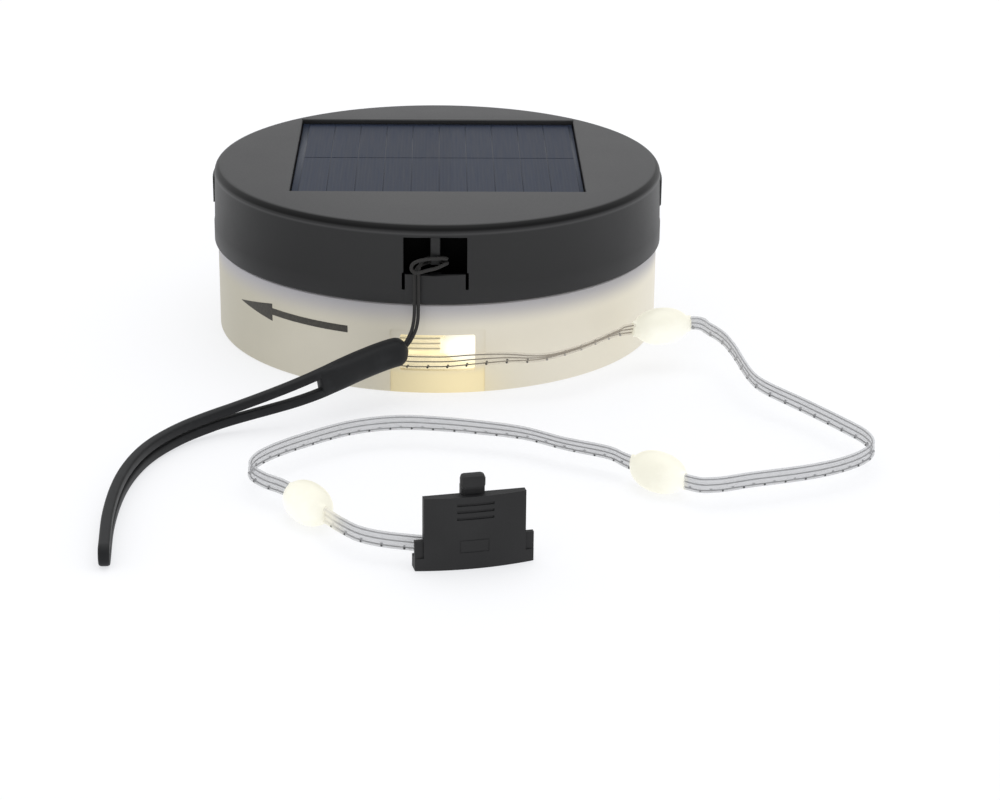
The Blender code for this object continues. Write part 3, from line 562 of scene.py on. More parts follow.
@dataclass(frozen=True)
class ClearSheath(Finish):
    """Clear grey ribbon that shows its wires."""

    colour: Colour = (0.54, 0.545, 0.56)
    solid: float = 0.47
    glow: Colour = (0.30, 0.27, 0.16)
    warm: Colour = (0.66, 0.60, 0.50)
    everywhere: bool = False

    def paint(self, tree: Tree) -> None:
        """Thin see-through skin with painted lamplight: warm and glowing where it passes the
        drum's window, glowing by the third bead.

        Args:
            tree: the material's node tree.
        """
        cloud = tree.noise(1.6, 3.0)
        x, y, _ = tree.axes()
        # Painted lamplight: the sheath glows before the window, turns warm by the drum and glows
        # by the third bead.
        near = x.hill(0.0, 13.0) * (1.0 - (-y).rise(62.5, 66.0))
        by_drum = (1.0 - (-y).rise(62.0, 72.0)) * (1.0 - x.rise(62.0, 66.0))
        clear = near * 0.75 + (1.0 - near) * by_drum * 0.45
        lit = x.hill(-24.0, 4.5) * (-y).hill(149.0, 5.0)
        share = 1.0 if self.everywhere else near + lit
        lost = 0.0 if self.everywhere else clear
        skin = tree.blend(cloud, self.colour, tuple(1.2 * c for c in self.colour))
        tree.set(Base_Color=tree.blend(by_drum, skin, self.warm),
                 Roughness=0.30 + (cloud - 0.5) * 0.15,
                 Alpha=(self.solid + (cloud - 0.5) * 0.10) * (1.0 - lost) + lit * 0.35,
                 Emission_Color=tree.blend(share, (0.0, 0.0, 0.0), self.glow),
                 Emission_Strength=1.0)


@dataclass(frozen=True)
class TinnedWire(Finish):
    """Fine stranded wire seen through the sheath."""

    colour: Colour = (0.060, 0.056, 0.052)
    warm: Colour = (0.26, 0.22, 0.17)
    pale: Colour = (0.30, 0.30, 0.31)

    def paint(self, tree: Tree) -> None:
        """Strands laid in a slow twist, paler in the drum's light.

        Args:
            tree: the material's node tree.
        """
        around, along = tree.uv()
        strand = ((around * 6.0 + along * 0.9).fract() - 0.5) * 2.0
        ridge = 1.0 - strand * strand
        x, y, _ = tree.axes()
        front = 1.0 - (-y).rise(62.0, 74.0)
        beyond = x.rise(62.0, 66.0)
        # Painted shade: the wire is darker in the grooves between strands, lighter on their
        # crests.
        bare = tree.blend(ridge, tuple(0.6 * c for c in self.colour),
                          tuple(1.5 * c for c in self.colour))
        lit = tree.blend(front * x.rise(2.0, 20.0), bare, self.warm)
        tree.set(Base_Color=tree.blend(front * beyond, lit, self.pale),
                 Roughness=0.5 + (1.0 - ridge) * 0.2, Metallic=0.2,
                 Normal=tree.bump(ridge, 0.03))


@dataclass(frozen=True)
class StringMark(MouldedPlastic):
    """Dark dots on the string, paler where the drum lights them."""

    pale: Colour = (0.34, 0.335, 0.33)

    def tone(self, tree: Tree, cloud: Num) -> bpy.types.NodeSocket:
        """Dark plastic that turns pale by the drum.

        Args:
            tree: the material's node tree.
            cloud: the flow clouds' noise.

        Returns:
            The colour's socket.
        """
        x, y, _ = tree.axes()
        lit = (1.0 - (-y).rise(62.0, 72.0)) * x.rise(22.0, 34.0)
        return tree.blend(lit, super().tone(tree, cloud), self.pale)


@dataclass(frozen=True)
class LampLit(Finish):
    """Pale parts inside the drum, in the warm light of the wound-up lamps."""

    colour: Colour = (0.60, 0.57, 0.48)
    light: Colour = (0.52, 0.46, 0.29)

    def paint(self, tree: Tree) -> None:
        """Even plastic with soft pools of lamplight.

        Args:
            tree: the material's node tree.
        """
        pool = tree.noise(7.0, 2.0)
        grain = tree.noise(0.5, 2.0)
        dim = tuple(0.72 * c for c in self.light)
        tree.set(Base_Color=tree.blend(grain, self.colour, tuple(1.1 * c for c in self.colour)),
                 Roughness=0.45 + (grain - 0.5) * 0.1, Normal=tree.bump(grain, 0.01),
                 Emission_Color=tree.blend(pool.rise(0.3, 0.7), dim, self.light),
                 Emission_Strength=1.0)


@dataclass(frozen=True)
class InkPrint(Finish):
    """Dark ink printed on the shell."""

    colour: Colour = (0.034, 0.031, 0.024)

    def paint(self, tree: Tree) -> None:
        """Slightly uneven cover."""
        patch = tree.noise(0.8, 4.0)
        tree.set(Base_Color=tree.blend(patch.rise(0.35, 0.8), self.colour,
                                       tuple(1.8 * c for c in self.colour)),
                 Roughness=0.62 + (patch - 0.5) * 0.2)


@dataclass(frozen=True)
class BraidedCord(Finish):
    """Thin braided cord."""

    colour: Colour = (0.014, 0.0135, 0.013)

    def paint(self, tree: Tree) -> None:
        """Two sets of crossing yarns.

        Args:
            tree: the material's node tree.
        """
        around, along = tree.uv()
        left = ((around * 4.0 + along * 1.6).fract() - 0.5) * 2.0
        right = ((around * 4.0 - along * 1.6).fract() - 0.5) * 2.0
        yarn = 1.0 - tree.math("MULTIPLY", left * left, right * right)
        # Painted shade: the cord is darker in the grooves between its yarns.
        tree.set(Base_Color=tree.blend(yarn, tuple(0.5 * c for c in self.colour),
                                       tuple(2.2 * c for c in self.colour)),
                 Roughness=0.70 + (1.0 - yarn) * 0.2, Normal=tree.bump(yarn, 0.10),
                 Sheen_Weight=0.05, Specular_IOR_Level=0.25)


@dataclass(frozen=True)
class ClearLens(Finish):
    """Small clear light pipe."""

    colour: Colour = (0.78, 0.86, 0.84)

    def paint(self, tree: Tree) -> None:
        """Glossy with faint flow lines."""
        flow = tree.noise(0.8, 2.0)
        tree.set(Base_Color=tree.blend(flow, self.colour, (0.92, 0.95, 0.94)),
                 Roughness=0.08 + flow * 0.08, Transmission_Weight=0.6, IOR=1.49)


@dataclass(frozen=True)
class SpunSteel(Finish):
    """Plated steel of screws, washer and port."""

    colour: Colour = (0.52, 0.52, 0.54)

    def paint(self, tree: Tree) -> None:
        """Fine turning marks and a dull film.

        Args:
            tree: the material's node tree.
        """
        marks = tree.noise(0.6, 3.0, (1.0, 1.0, 9.0))
        film = tree.noise(4.0, 3.0)
        tree.set(Base_Color=tree.blend(film, self.colour, tuple(0.75 * c for c in self.colour)),
                 Metallic=1.0, Roughness=0.28 + marks * 0.22, Normal=tree.bump(marks, 0.01))


@dataclass(frozen=True)
class PressedFelt(Finish):
    """Grey felt of the friction ring."""

    colour: Colour = (0.26, 0.26, 0.27)

    def paint(self, tree: Tree) -> None:
        """Matted fibres."""
        fibre = tree.noise(0.4, 5.0, (3.0, 1.0, 1.0))
        tree.set(Base_Color=tree.blend(fibre, tuple(0.6 * c for c in self.colour),
                                       tuple(1.5 * c for c in self.colour)),
                 Roughness=0.95 + (fibre - 0.5) * 0.08, Normal=tree.bump(fibre, 0.15),
                 Sheen_Weight=0.4)


@dataclass(frozen=True)
class FoamPad(Finish):
    """Pale foam tape."""

    colour: Colour = (0.55, 0.55, 0.52)

    def paint(self, tree: Tree) -> None:
        """Open pores."""
        pores = tree.cells(0.5)
        # Painted shade: the foam is darker in its pores.
        tree.set(Base_Color=tree.blend(pores, tuple(0.7 * c for c in self.colour),
                                       tuple(1.2 * c for c in self.colour)),
                 Roughness=0.92 + pores * 0.06, Normal=tree.bump(pores, 0.12))


@dataclass(frozen=True)
class CircuitGreen(Finish):
    """Green solder mask over copper tracks."""

    mask: Colour = (0.012, 0.085, 0.032)
    track: Colour = (0.030, 0.170, 0.062)

    def paint(self, tree: Tree) -> None:
        """Right-angled tracks under the mask.

        Args:
            tree: the material's node tree.
        """
        x, y, _ = tree.axes()
        lane = ((y / 1.9 + ((x / 9.0).floor() * 3.7).sine()).fract() - 0.5) * 2.0
        line = 1.0 - abs(lane).rise(0.25, 0.40)
        grain = tree.noise(0.4, 2.0)
        tree.set(Base_Color=tree.blend(line, self.mask, self.track),
                 Roughness=0.38 + (grain - 0.5) * 0.12, Normal=tree.bump(line, 0.03))


@dataclass(frozen=True)
class CellWrap(Finish):
    """Silvery wrap of the battery cell."""

    colour: Colour = (0.50, 0.51, 0.53)

    def paint(self, tree: Tree) -> None:
        """Soft creases in the foil."""
        crease = tree.noise(5.0, 4.0)
        tree.set(Base_Color=tree.blend(crease, self.colour, tuple(1.2 * c for c in self.colour)),
                 Metallic=0.45, Roughness=0.34 + (crease - 0.5) * 0.2,
                 Normal=tree.bump(crease, 0.25))


@dataclass(frozen=True)
class PaleFloor(Finish):
    """Plain white studio sweep, a light table."""

    colour: Colour = (0.34, 0.34, 0.34)
    light: Colour = (0.625, 0.630, 0.645)

    def paint(self, tree: Tree) -> None:
        """Matt sheet with the faintest mottle, lit from below so that shadows stay soft."""
        cloud = tree.noise(60.0, 2.0)
        tree.set(Base_Color=tree.blend(cloud, self.colour, tuple(1.04 * c for c in self.colour)),
                 Roughness=0.85, Emission_Color=self.light, Emission_Strength=1.0)


LID_BLACK = LidPlastic("lid_black", colour=(0.0182, 0.0182, 0.0190))
SIDE_BLACK = MouldedPlastic("inner_black", colour=(0.016, 0.016, 0.017), roughness=0.55)
CLIP_BLACK = MouldedPlastic("clip_black", colour=(0.014, 0.014, 0.0145), roughness=0.58,
                            grain=0.5, depth=0.02, shine=0.3)
MARK = StringMark("mark_black", colour=(0.020, 0.020, 0.021), roughness=0.5)
STRAP_SILICONE = Silicone("strap_silicone")
SEAL_RUBBER = Silicone("seal_rubber", colour=(0.020, 0.021, 0.022), roughness=0.6)
CELLS = SolarCells("solar_cells")
BACKING = CellBacking("cell_backing")
MILKY = MilkyGlow("milky_shell")
BEAD = BeadGlow("bead_glow")
SPOOL_BEAD = BeadGlow("bead_glow_inside", dim=(0.80, 0.72, 0.52), bright=(1.0, 0.95, 0.86))
SHEATH = ClearSheath("clear_sheath")
LIT_SHEATH = ClearSheath("lit_sheath", colour=(0.60, 0.57, 0.48), solid=0.45,
                         glow=(0.52, 0.47, 0.31), everywhere=True)
COIL = LampLit("lit_turns")
SPOOL = LampLit("lit_spool", light=(0.56, 0.50, 0.34))
WIRE = TinnedWire("tinned_wire")
INK = InkPrint("arrow_ink")
BRAID = BraidedCord("braided_cord")
LENS = ClearLens("clear_lens_pipe")
STEEL = SpunSteel("plated_steel")
FELT = PressedFelt("pressed_felt")
FOAM = FoamPad("foam_tape")
BOARD = CircuitGreen("circuit_green")
WRAP = CellWrap("cell_wrap")
FLOOR = PaleFloor("studio_floor")


# ------------------------------------------------------------ shape helpers


def smooth_route(points: Sequence[Point], spacing: float) -> np.ndarray:
    """Even stations on a smooth curve through the given points.

    Args:
        points: places in their first three numbers, and anything carried along after them.
        spacing: the distance between stations.

    Returns:
        One row for each station.
    """
    rows = np.array(points, float)
    ends = np.vstack([2 * rows[0] - rows[1], rows, 2 * rows[-1] - rows[-2]])
    share = np.linspace(0.0, 1.0, 24, endpoint=False)[:, None]
    fine = [0.5 * (2 * a + (b - before) * share
                   + (2 * before - 5 * a + 4 * b - after) * share ** 2
                   + (3 * a - before - 3 * b + after) * share ** 3)
            for before, a, b, after in zip(ends, ends[1:], ends[2:], ends[3:])]
    curve = np.vstack([*fine, rows[-1:]])
    steps = np.linalg.norm(np.diff(curve[:, :3], axis=0), axis=1)
    at = np.concatenate([[0.0], np.cumsum(steps)])
    count = max(2, round(at[-1] / spacing))
    wanted = np.linspace(0.0, at[-1], count + 1)
    return np.stack([np.interp(wanted, at, column) for column in curve.T], axis=1)


def directions(route: np.ndarray) -> np.ndarray:
    """Unit direction of a route at each station."""
    ahead = np.gradient(route[:, :3], axis=0)
    return ahead / np.linalg.norm(ahead, axis=1)[:, None]


def leaning(route: np.ndarray) -> np.ndarray:
    """Direction of a ribbon's width: upright, leaned by the route's fourth column in degrees.

    Args:
        route: stations with x, y, z and the lean in degrees.

    Returns:
        One unit vector per station.
    """
    ahead = directions(route)
    up = np.array([0.0, 0.0, 1.0]) - ahead * ahead[:, 2:3]
    up /= np.linalg.norm(up, axis=1)[:, None]
    side = np.cross(ahead, up)
    lean = np.radians(route[:, 3:4])
    return up * np.cos(lean) + side * np.sin(lean)


def as_metres(points: Sequence[Point]) -> list[tuple[float, ...]]:
    """Places given in millimetres as metres, with anything after them kept."""
    return [(*(c * MM for c in p[:3]), *p[3:]) for p in points]


def round_section(radius: float, sides: int = 12) -> np.ndarray:
    """A circle's outline."""
    angle = np.linspace(0.0, 2 * np.pi, sides, endpoint=False)
    return radius * np.stack([np.cos(angle), np.sin(angle)], axis=1)


def pad_section(wide: float, thick: float, sides: int = 24, power: float = 4.0) -> np.ndarray:
    """A rounded rectangle's outline; a higher power gives squarer corners.

    Args:
        wide: full width.
        thick: full thickness.
        sides: number of corners.
        power: how square the corners are.

    Returns:
        The outline's points, one row each.
    """
    angle = np.linspace(0.0, 2 * np.pi, sides, endpoint=False)
    c, s = np.cos(angle), np.sin(angle)
    return np.stack([wide / 2 * np.sign(c) * np.abs(c) ** (2 / power),
                     thick / 2 * np.sign(s) * np.abs(s) ** (2 / power)], axis=1)


def dress(obj: bpy.types.Object, finish: Finish) -> bpy.types.Object:
    """Give an object's every slot one finish.

    Args:
        obj: the object.
        finish: the finish.

    Returns:
        The same object.
    """
    material = finish.material()
    if not obj.data.materials:
        obj.data.materials.append(material)
    for i in range(len(obj.data.materials)):
        obj.data.materials[i] = material
    return obj


def piece(name: str, mesh: bpy.types.Mesh, finish: Finish,
          sharp: float = 35.0) -> bpy.types.Object:
    """Put a finished mesh in the scene.

    Args:
        name: the piece's name.
        mesh: its mesh, in the frame's coordinates.
        finish: what it wears.
        sharp: the angle in degrees past which an edge is kept sharp.

    Returns:
        The new object, at the origin.
    """
    mesh.name = name
    obj = bpy.data.objects.new(name, mesh)
    bpy.context.scene.collection.objects.link(obj)
    mesh.materials.clear()
    dress(obj, finish)
    mesh.shade_smooth()
    mesh.set_sharp_from_angle(angle=math.radians(sharp))
    LOG.info("%s: %d faces", name, len(mesh.polygons))
    return obj


def settle(bm: bmesh.types.BMesh) -> bpy.types.Mesh:
    """Turn a bmesh into a mesh whose faces point outwards.

    Args:
        bm: the bmesh, which is freed.

    Returns:
        The new mesh.
    """
    bmesh.ops.recalc_face_normals(bm, faces=bm.faces)
    mesh = bpy.data.meshes.new("settled")
    bm.to_mesh(mesh)
    bm.free()
    return mesh


def sweep(route: np.ndarray, wide: np.ndarray, section: np.ndarray) -> bpy.types.Mesh:
    """A closed body along a route.

    Args:
        route: its stations.
        wide: the direction of the section's first axis at each station.
        section: the outline, one for all stations or one for each.

    Returns:
        A mesh with UVs round the section and, in millimetres, along the route.
    """
    centre = route[:, :3]
    ahead = directions(route)
    first = wide - ahead * np.sum(wide * ahead, axis=1)[:, None]
    first /= np.linalg.norm(first, axis=1)[:, None]
    second = np.cross(ahead, first)
    outlines = section if section.ndim == 3 else np.repeat(section[None], len(route), axis=0)
    sides = outlines.shape[1]
    steps = np.linalg.norm(np.diff(centre, axis=0), axis=1)
    at = np.concatenate([[0.0], np.cumsum(steps)]) / MM
    bm = bmesh.new()
    layer = bm.loops.layers.uv.new("along")
    rings = [[bm.verts.new(c + a * f + b * s) for a, b in outline]
             for c, f, s, outline in zip(centre, first, second, outlines)]

    def skin(corners: list[bmesh.types.BMVert], places: list[tuple[float, float]]) -> None:
        """Add one face with its UVs."""
        for loop, place in zip(bm.faces.new(corners).loops, places):
            loop[layer].uv = place

    for i in range(len(rings) - 1):
        for j in range(sides):
            k = (j + 1) % sides
            skin([rings[i][j], rings[i][k], rings[i + 1][k], rings[i + 1][j]],
                 [(j / sides, at[i]), ((j + 1) / sides, at[i]),
                  ((j + 1) / sides, at[i + 1]), (j / sides, at[i + 1])])
    for ring, where in ((rings[0], at[0]), (rings[-1], at[-1])):
        skin(ring, [(0.0, where)] * sides)
    return settle(bm)


def revolve(profile: Sequence[tuple[float, float]], steps: int = 192,
            closed: bool = False) -> bmesh.types.BMesh:
    """A turned body about Z from (radius, height) points.

    Args:
        profile: the points; a radius of 0 is a point on the axis.
        steps: how many sides the rings have.
        closed: whether the last point joins the first.

    Returns:
        The body as a bmesh.
    """
    bm = bmesh.new()
    turns = [(math.cos(2 * math.pi * i / steps), math.sin(2 * math.pi * i / steps))
             for i in range(steps)]
    rings = [[bm.verts.new((0.0, 0.0, height))] if radius == 0.0
             else [bm.verts.new((radius * c, radius * s, height)) for c, s in turns]
             for radius, height in profile]
    pairs = list(zip(rings, rings[1:])) + ([(rings[-1], rings[0])] if closed else [])
    for low, high in pairs:
        for i in range(steps):
            j = (i + 1) % steps
            corners = [low[i % len(low)], low[j % len(low)], high[j % len(high)],
                       high[i % len(high)]]
            unique = list(dict.fromkeys(corners))
            if len(unique) > 2:
                bm.faces.new(unique)
    return bm


class Solid:
    """A closed body that others are cut from, joined to or trimmed by."""

    def __init__(self, bm: bmesh.types.BMesh) -> None:
        """Hold a body in the scene while its modifiers are worked out.

        Args:
            bm: the body, which is freed.
        """
        self.obj = bpy.data.objects.new("solid", settle(bm))
        bpy.context.scene.collection.objects.link(self.obj)
        self.tools: list["Solid"] = []

    @classmethod
    def box(cls, low: Point, high: Point, round_by: float = 0.0, segments: int = 3) -> Self:
        """A box between two corners, its edges rounded by a radius.

        Args:
            low: the lowest corner.
            high: the highest corner.
            round_by: radius of the edges.
            segments: steps of each rounding.

        Returns:
            The solid.
        """
        low, high = Vector(low), Vector(high)
        bm = bmesh.new()
        place = Matrix.Translation((low + high) / 2) @ Matrix.Diagonal((*(high - low), 1.0))
        bmesh.ops.create_cube(bm, size=1.0, matrix=place)
        if round_by:
            bmesh.ops.bevel(bm, geom=bm.edges[:], offset=round_by, segments=segments,
                            profile=0.5, affect="EDGES")
        return cls(bm)

    @classmethod
    def flared(cls, low: Point, high: Point, axis: int, flare: float) -> Self:
        """A box that is wider by flare all round at one end.

        Args:
            low: its lowest corner at the narrow size.
            high: its highest corner at the narrow size.
            axis: the number of its long axis; the wide end is at the higher value, or at the
                lower one if flare is negative.
            flare: how much the wide end stands out on each side.

        Returns:
            The solid.
        """
        low, high = Vector(low), Vector(high)
        bm = bmesh.new()
        place = Matrix.Translation((low + high) / 2) @ Matrix.Diagonal((*(high - low), 1.0))
        bmesh.ops.create_cube(bm, size=1.0, matrix=place)
        middle = (low + high) / 2
        for vert in bm.verts:
            wide_end = (vert.co[axis] > middle[axis]) == (flare > 0)
            if wide_end:
                for other in {0, 1, 2} - {axis}:
                    vert.co[other] += math.copysign(abs(flare), vert.co[other] - middle[other])
        return cls(bm)

    @classmethod
    def turned(cls, profile: Sequence[tuple[float, float]], steps: int = 192,
               closed: bool = False) -> Self:
        """A turned body about Z."""
        return cls(revolve(profile, steps, closed))

    @classmethod
    def rod(cls, radius: float, low: float, high: float, centre: tuple[float, float] = (0, 0),
            along_x: bool = False, sides: int = 48) -> Self:
        """A round rod along Z, or along X.

        Args:
            radius: the rod's radius.
            low: where it starts along its axis.
            high: where it ends.
            centre: where its axis crosses the other two directions.
            along_x: whether it lies along X.
            sides: number of its sides.

        Returns:
            The solid.
        """
        bm = bmesh.new()
        if along_x:
            place = (Matrix.Translation(((low + high) / 2, *centre))
                     @ Matrix.Rotation(math.pi / 2, 4, "Y"))
        else:
            place = Matrix.Translation((*centre, (low + high) / 2))
        bmesh.ops.create_cone(bm, cap_ends=True, segments=sides, radius1=radius,
                              radius2=radius, depth=high - low, matrix=place)
        return cls(bm)

    def _with(self, other: "Solid", operation: str) -> Self:
        """Add a Boolean of another solid.

        Args:
            other: the solid it works with, which is used up.
            operation: the Boolean's kind.

        Returns:
            The same solid.
        """
        mod = self.obj.modifiers.new(operation, "BOOLEAN")
        mod.operation = operation
        mod.object = other.obj
        self.tools.append(other)
        return self

    def cut(self, *others: "Solid") -> Self:
        """Take other solids out of this one."""
        for other in others:
            self._with(other, "DIFFERENCE")
        return self

    def join(self, *others: "Solid") -> Self:
        """Weld other solids to this one."""
        for other in others:
            self._with(other, "UNION")
        return self

    def trim(self, other: "Solid") -> Self:
        """Keep only what lies inside another solid."""
        return self._with(other, "INTERSECT")

    def round_edges(self, radius: float, segments: int = 3, angle: float = 40.0) -> Self:
        """Round the sharp edges.

        Args:
            radius: radius of the edges.
            segments: steps of each rounding.
            angle: the edge angle, in degrees, from which an edge is sharp.

        Returns:
            The same solid.
        """
        mod = self.obj.modifiers.new("round", "BEVEL")
        mod.width = radius
        mod.segments = segments
        mod.limit_method = "ANGLE"
        mod.angle_limit = math.radians(angle)
        return self

    def _clear(self) -> None:
        """Remove the solid and its tools from the scene."""
        for tool in self.tools:
            tool._clear()
        bpy.data.objects.remove(self.obj, do_unlink=True)

    def mesh(self, place: Matrix | None = None) -> bpy.types.Mesh:
        """Work out the solid's shape and drop the tools.

        Args:
            place: where the shape goes, if it was made in its own frame.

        Returns:
            The finished mesh.
        """
        seen = self.obj.evaluated_get(bpy.context.evaluated_depsgraph_get())
        mesh = bpy.data.meshes.new_from_object(seen)
        self._clear()
        if place:
            mesh.transform(place)
        return mesh


class Pattern:
    """A Geometry Nodes tree that repeats something, with named sizes."""

    def __init__(self, name: str, sizes: dict[str, float | int]) -> None:
        """Start a tree with a geometry input and a named input for each size.

        Args:
            name: the tree's name.
            sizes: the inputs and the values they take.
        """
        self.group = bpy.data.node_groups.new(name, "GeometryNodeTree")
        face = self.group.interface
        face.new_socket("Geometry", in_out="INPUT", socket_type="NodeSocketGeometry")
        self.sizes = sizes
        self.sockets: dict[str, str] = {}
        for title, value in sizes.items():
            kind = "NodeSocketInt" if isinstance(value, int) else "NodeSocketFloat"
            made = face.new_socket(title, in_out="INPUT", socket_type=kind)
            self.sockets[title] = made.identifier
        face.new_socket("Geometry", in_out="OUTPUT", socket_type="NodeSocketGeometry")
        self.given = self.group.nodes.new("NodeGroupInput")
        self.result = self.group.nodes.new("NodeGroupOutput")

    def size(self, title: str) -> bpy.types.NodeSocket:
        """The socket of a named size."""
        return self.given.outputs[title]

    def node(self, kind: str, settings: dict[str, object] | None = None,
             values: dict[str | int, object] | None = None) -> bpy.types.Node:
        """Add a node with its settings, and the values or links of its sockets.

        Args:
            kind: the node's type.
            settings: its properties.
            values: its sockets' values or links, by name or number.

        Returns:
            The node.
        """
        made = self.group.nodes.new(kind)
        for key, value in (settings or {}).items():
            setattr(made, key, value)
        for name, value in (values or {}).items():
            if isinstance(value, bpy.types.NodeSocket):
                self.group.links.new(value, made.inputs[name])
            else:
                made.inputs[name].default_value = value
        return made

    def math(self, operation: str, *values: object) -> bpy.types.NodeSocket:
        """A Math node's result."""
        made = self.node("ShaderNodeMath", {"operation": operation}, dict(enumerate(values)))
        return made.outputs[0]

    def close(self, geometry: bpy.types.NodeSocket, finish: Finish) -> None:
        """End the tree: realise the copies and give them their material.

        Args:
            geometry: the copies.
            finish: the finish they take.
        """
        real = self.node("GeometryNodeRealizeInstances", None, {"Geometry": geometry})
        worn = self.node("GeometryNodeSetMaterial", None, {
            "Geometry": real.outputs[0], "Material": finish.material()})
        self.group.links.new(worn.outputs[0], self.result.inputs[0])

    def grow(self, seed: bpy.types.Mesh) -> bpy.types.Mesh:
        """Run the tree on a mesh and return the plain mesh it makes.

        Args:
            seed: the mesh the tree starts from.

        Returns:
            The mesh it makes.
        """
        holder = bpy.data.objects.new("holder", seed)
        bpy.context.scene.collection.objects.link(holder)
        mod = holder.modifiers.new("pattern", "NODES")
        mod.node_group = self.group
        for title, value in self.sizes.items():
            mod[self.sockets[title]] = value
        seen = holder.evaluated_get(bpy.context.evaluated_depsgraph_get())
        mesh = bpy.data.meshes.new_from_object(seen)
        holder.modifiers.remove(mod)
        bpy.data.objects.remove(holder, do_unlink=True)
        return mesh


def settle_on(obj: bpy.types.Object, body: Body, slot: Slot,
              *nodes: str) -> bpy.types.Object:
    """Let a piece ride on a body and stand for the CAD nodes it replaces.

    Args:
        obj: the piece.
        body: the body it rides on.
        slot: the material slot; not used.
        *nodes: the CAD nodes it stands for.

    Returns:
        The same piece.
    """
    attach(obj, body.value)
    if nodes:
        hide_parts(*nodes)
    return obj


# -------------------------------------------------------------- the studio


@dataclass
class Studio:
    """Pale floor, even soft light and the camera."""

    eye: Point = (0.0, -0.6705, 0.2348)
    turn: Point = (68.845, -0.580, -1.270)
    lens: float = 92.5
    sky: float = 0.86
    overhead: float = 5.0

    def build(self) -> None:
        """Set up floor, world, lamps and camera."""
        bm = bmesh.new()
        bmesh.ops.create_grid(bm, x_segments=8, y_segments=8, size=3.0)
        floor = piece("studio_floor", settle(bm), FLOOR)
        world = bpy.data.worlds.new("studio")
        world.use_nodes = True
        sky = world.node_tree.nodes["Background"]
        sky.inputs["Color"].default_value = (0.985, 0.99, 1.0, 1.0)
        sky.inputs["Strength"].default_value = self.sky
        bpy.context.scene.world = world
        bpy.context.scene.view_settings.view_transform = "Standard"
        self.lamp("overhead", (0.1, 0.15, 1.3), 1.3, self.overhead, (1.0, 1.0, 1.0))
        self.camera()

    def lamp(self, name: str, place: Point, size: float, power: float,
             colour: Colour) -> None:
        """A square lamp that faces the drum.

        Args:
            name: the lamp's name.
            place: where it hangs.
            size: length of its side.
            power: its power in watts.
            colour: its colour.
        """
        light = bpy.data.lights.new(name, "AREA")
        light.size = size
        light.energy = power
        light.color = colour
        obj = bpy.data.objects.new(name, light)
        obj.location = place
        obj.rotation_euler = (-Vector(place)).to_track_quat("-Z", "Y").to_euler()
        bpy.context.scene.collection.objects.link(obj)

    def camera(self) -> None:
        """The camera, a little above and in front of the drum."""
        data = bpy.data.cameras.new("camera")
        data.lens = self.lens
        data.clip_start = 0.01
        obj = bpy.data.objects.new("camera", data)
        obj.location = self.eye
        obj.rotation_euler = [math.radians(a) for a in self.turn]
        bpy.context.scene.collection.objects.link(obj)
        bpy.context.scene.camera = obj


# --------------------------------------------------------- string and beads


@dataclass
class BeadShape:
    """One cast bead: where it sits, its axis in plan, and where its lamp shines through."""

    name: str
    middle: Point
    angle: float
    bright: Point = (0.0, -1.0, 0.0)
    length: float = 16.0 * MM
    radius: float = 4.8 * MM

    def axis(self) -> np.ndarray:
        """Unit direction of the bead's axis."""
        turn = math.radians(self.angle)
        return np.array([math.cos(turn), math.sin(turn), 0.0])

    def end(self, side: int) -> np.ndarray:
        """Just past the bead's tip, where the bare string starts."""
        return np.array(self.middle) + self.axis() * side * (self.length / 2 + 0.7 * MM)

    def mesh(self) -> bpy.types.Mesh:
        """An egg drawn out to a flat collar at each end.

        Returns:
            The bead's mesh, in the frame's coordinates.
        """
        rings, sides = 40, 48
        ahead = self.axis()
        up = np.array([0.0, 0.0, 1.0])
        side = np.cross(ahead, up)
        shine = np.array(self.bright) / np.linalg.norm(self.bright)
        bm = bmesh.new()
        glow = bm.verts.layers.float.new("glow")
        rows = []
        for i in range(rings + 1):
            share = -1.0 + 2.0 * i / rings
            swell = (1.0 - abs(share) ** 2.3) ** 0.62
            tall = max(swell * self.radius, 2.15 * MM)
            deep = max(swell * self.radius, 0.95 * MM)
            row = []
            for j in range(sides):
                a = 2 * math.pi * j / sides
                out = up * math.cos(a) * tall + side * math.sin(a) * deep
                vert = bm.verts.new(np.array(self.middle) + ahead * share * self.length / 2
                                    + out)
                normal = (out / self.radius + ahead * share * 0.8)
                normal = normal / max(np.linalg.norm(normal), 1e-6)
                vert[glow] = max(0.0, float(normal @ shine)) ** 1.5
                row.append(vert)
            rows.append(row)
        for low, high in zip(rows, rows[1:]):
            for j in range(sides):
                k = (j + 1) % sides
                bm.faces.new([low[j], low[k], high[k], high[j]])
        bm.faces.new(rows[0])
        bm.faces.new(rows[-1])
        return settle(bm)

    def build(self, body: Body, node: str, finish: Finish) -> bpy.types.Object:
        """Make the bead and let it stand for its CAD node."""
        obj = piece(self.name, self.mesh(), finish, sharp=60.0)
        return settle_on(obj, body, Slot.BEAD, node)

    def lamp(self, power: float, spread: float) -> None:
        """A small warm lamp at the bead that lights what lies round it.

        Args:
            power: the lamp's power in watts.
            spread: radius of its ball.
        """
        light = bpy.data.lights.new(self.name + "_lamp", "POINT")
        light.energy = power
        light.color = (1.0, 0.86, 0.58)
        light.shadow_soft_size = spread
        obj = bpy.data.objects.new(self.name + "_lamp", light)
        obj.location = self.middle
        bpy.context.scene.collection.objects.link(obj)


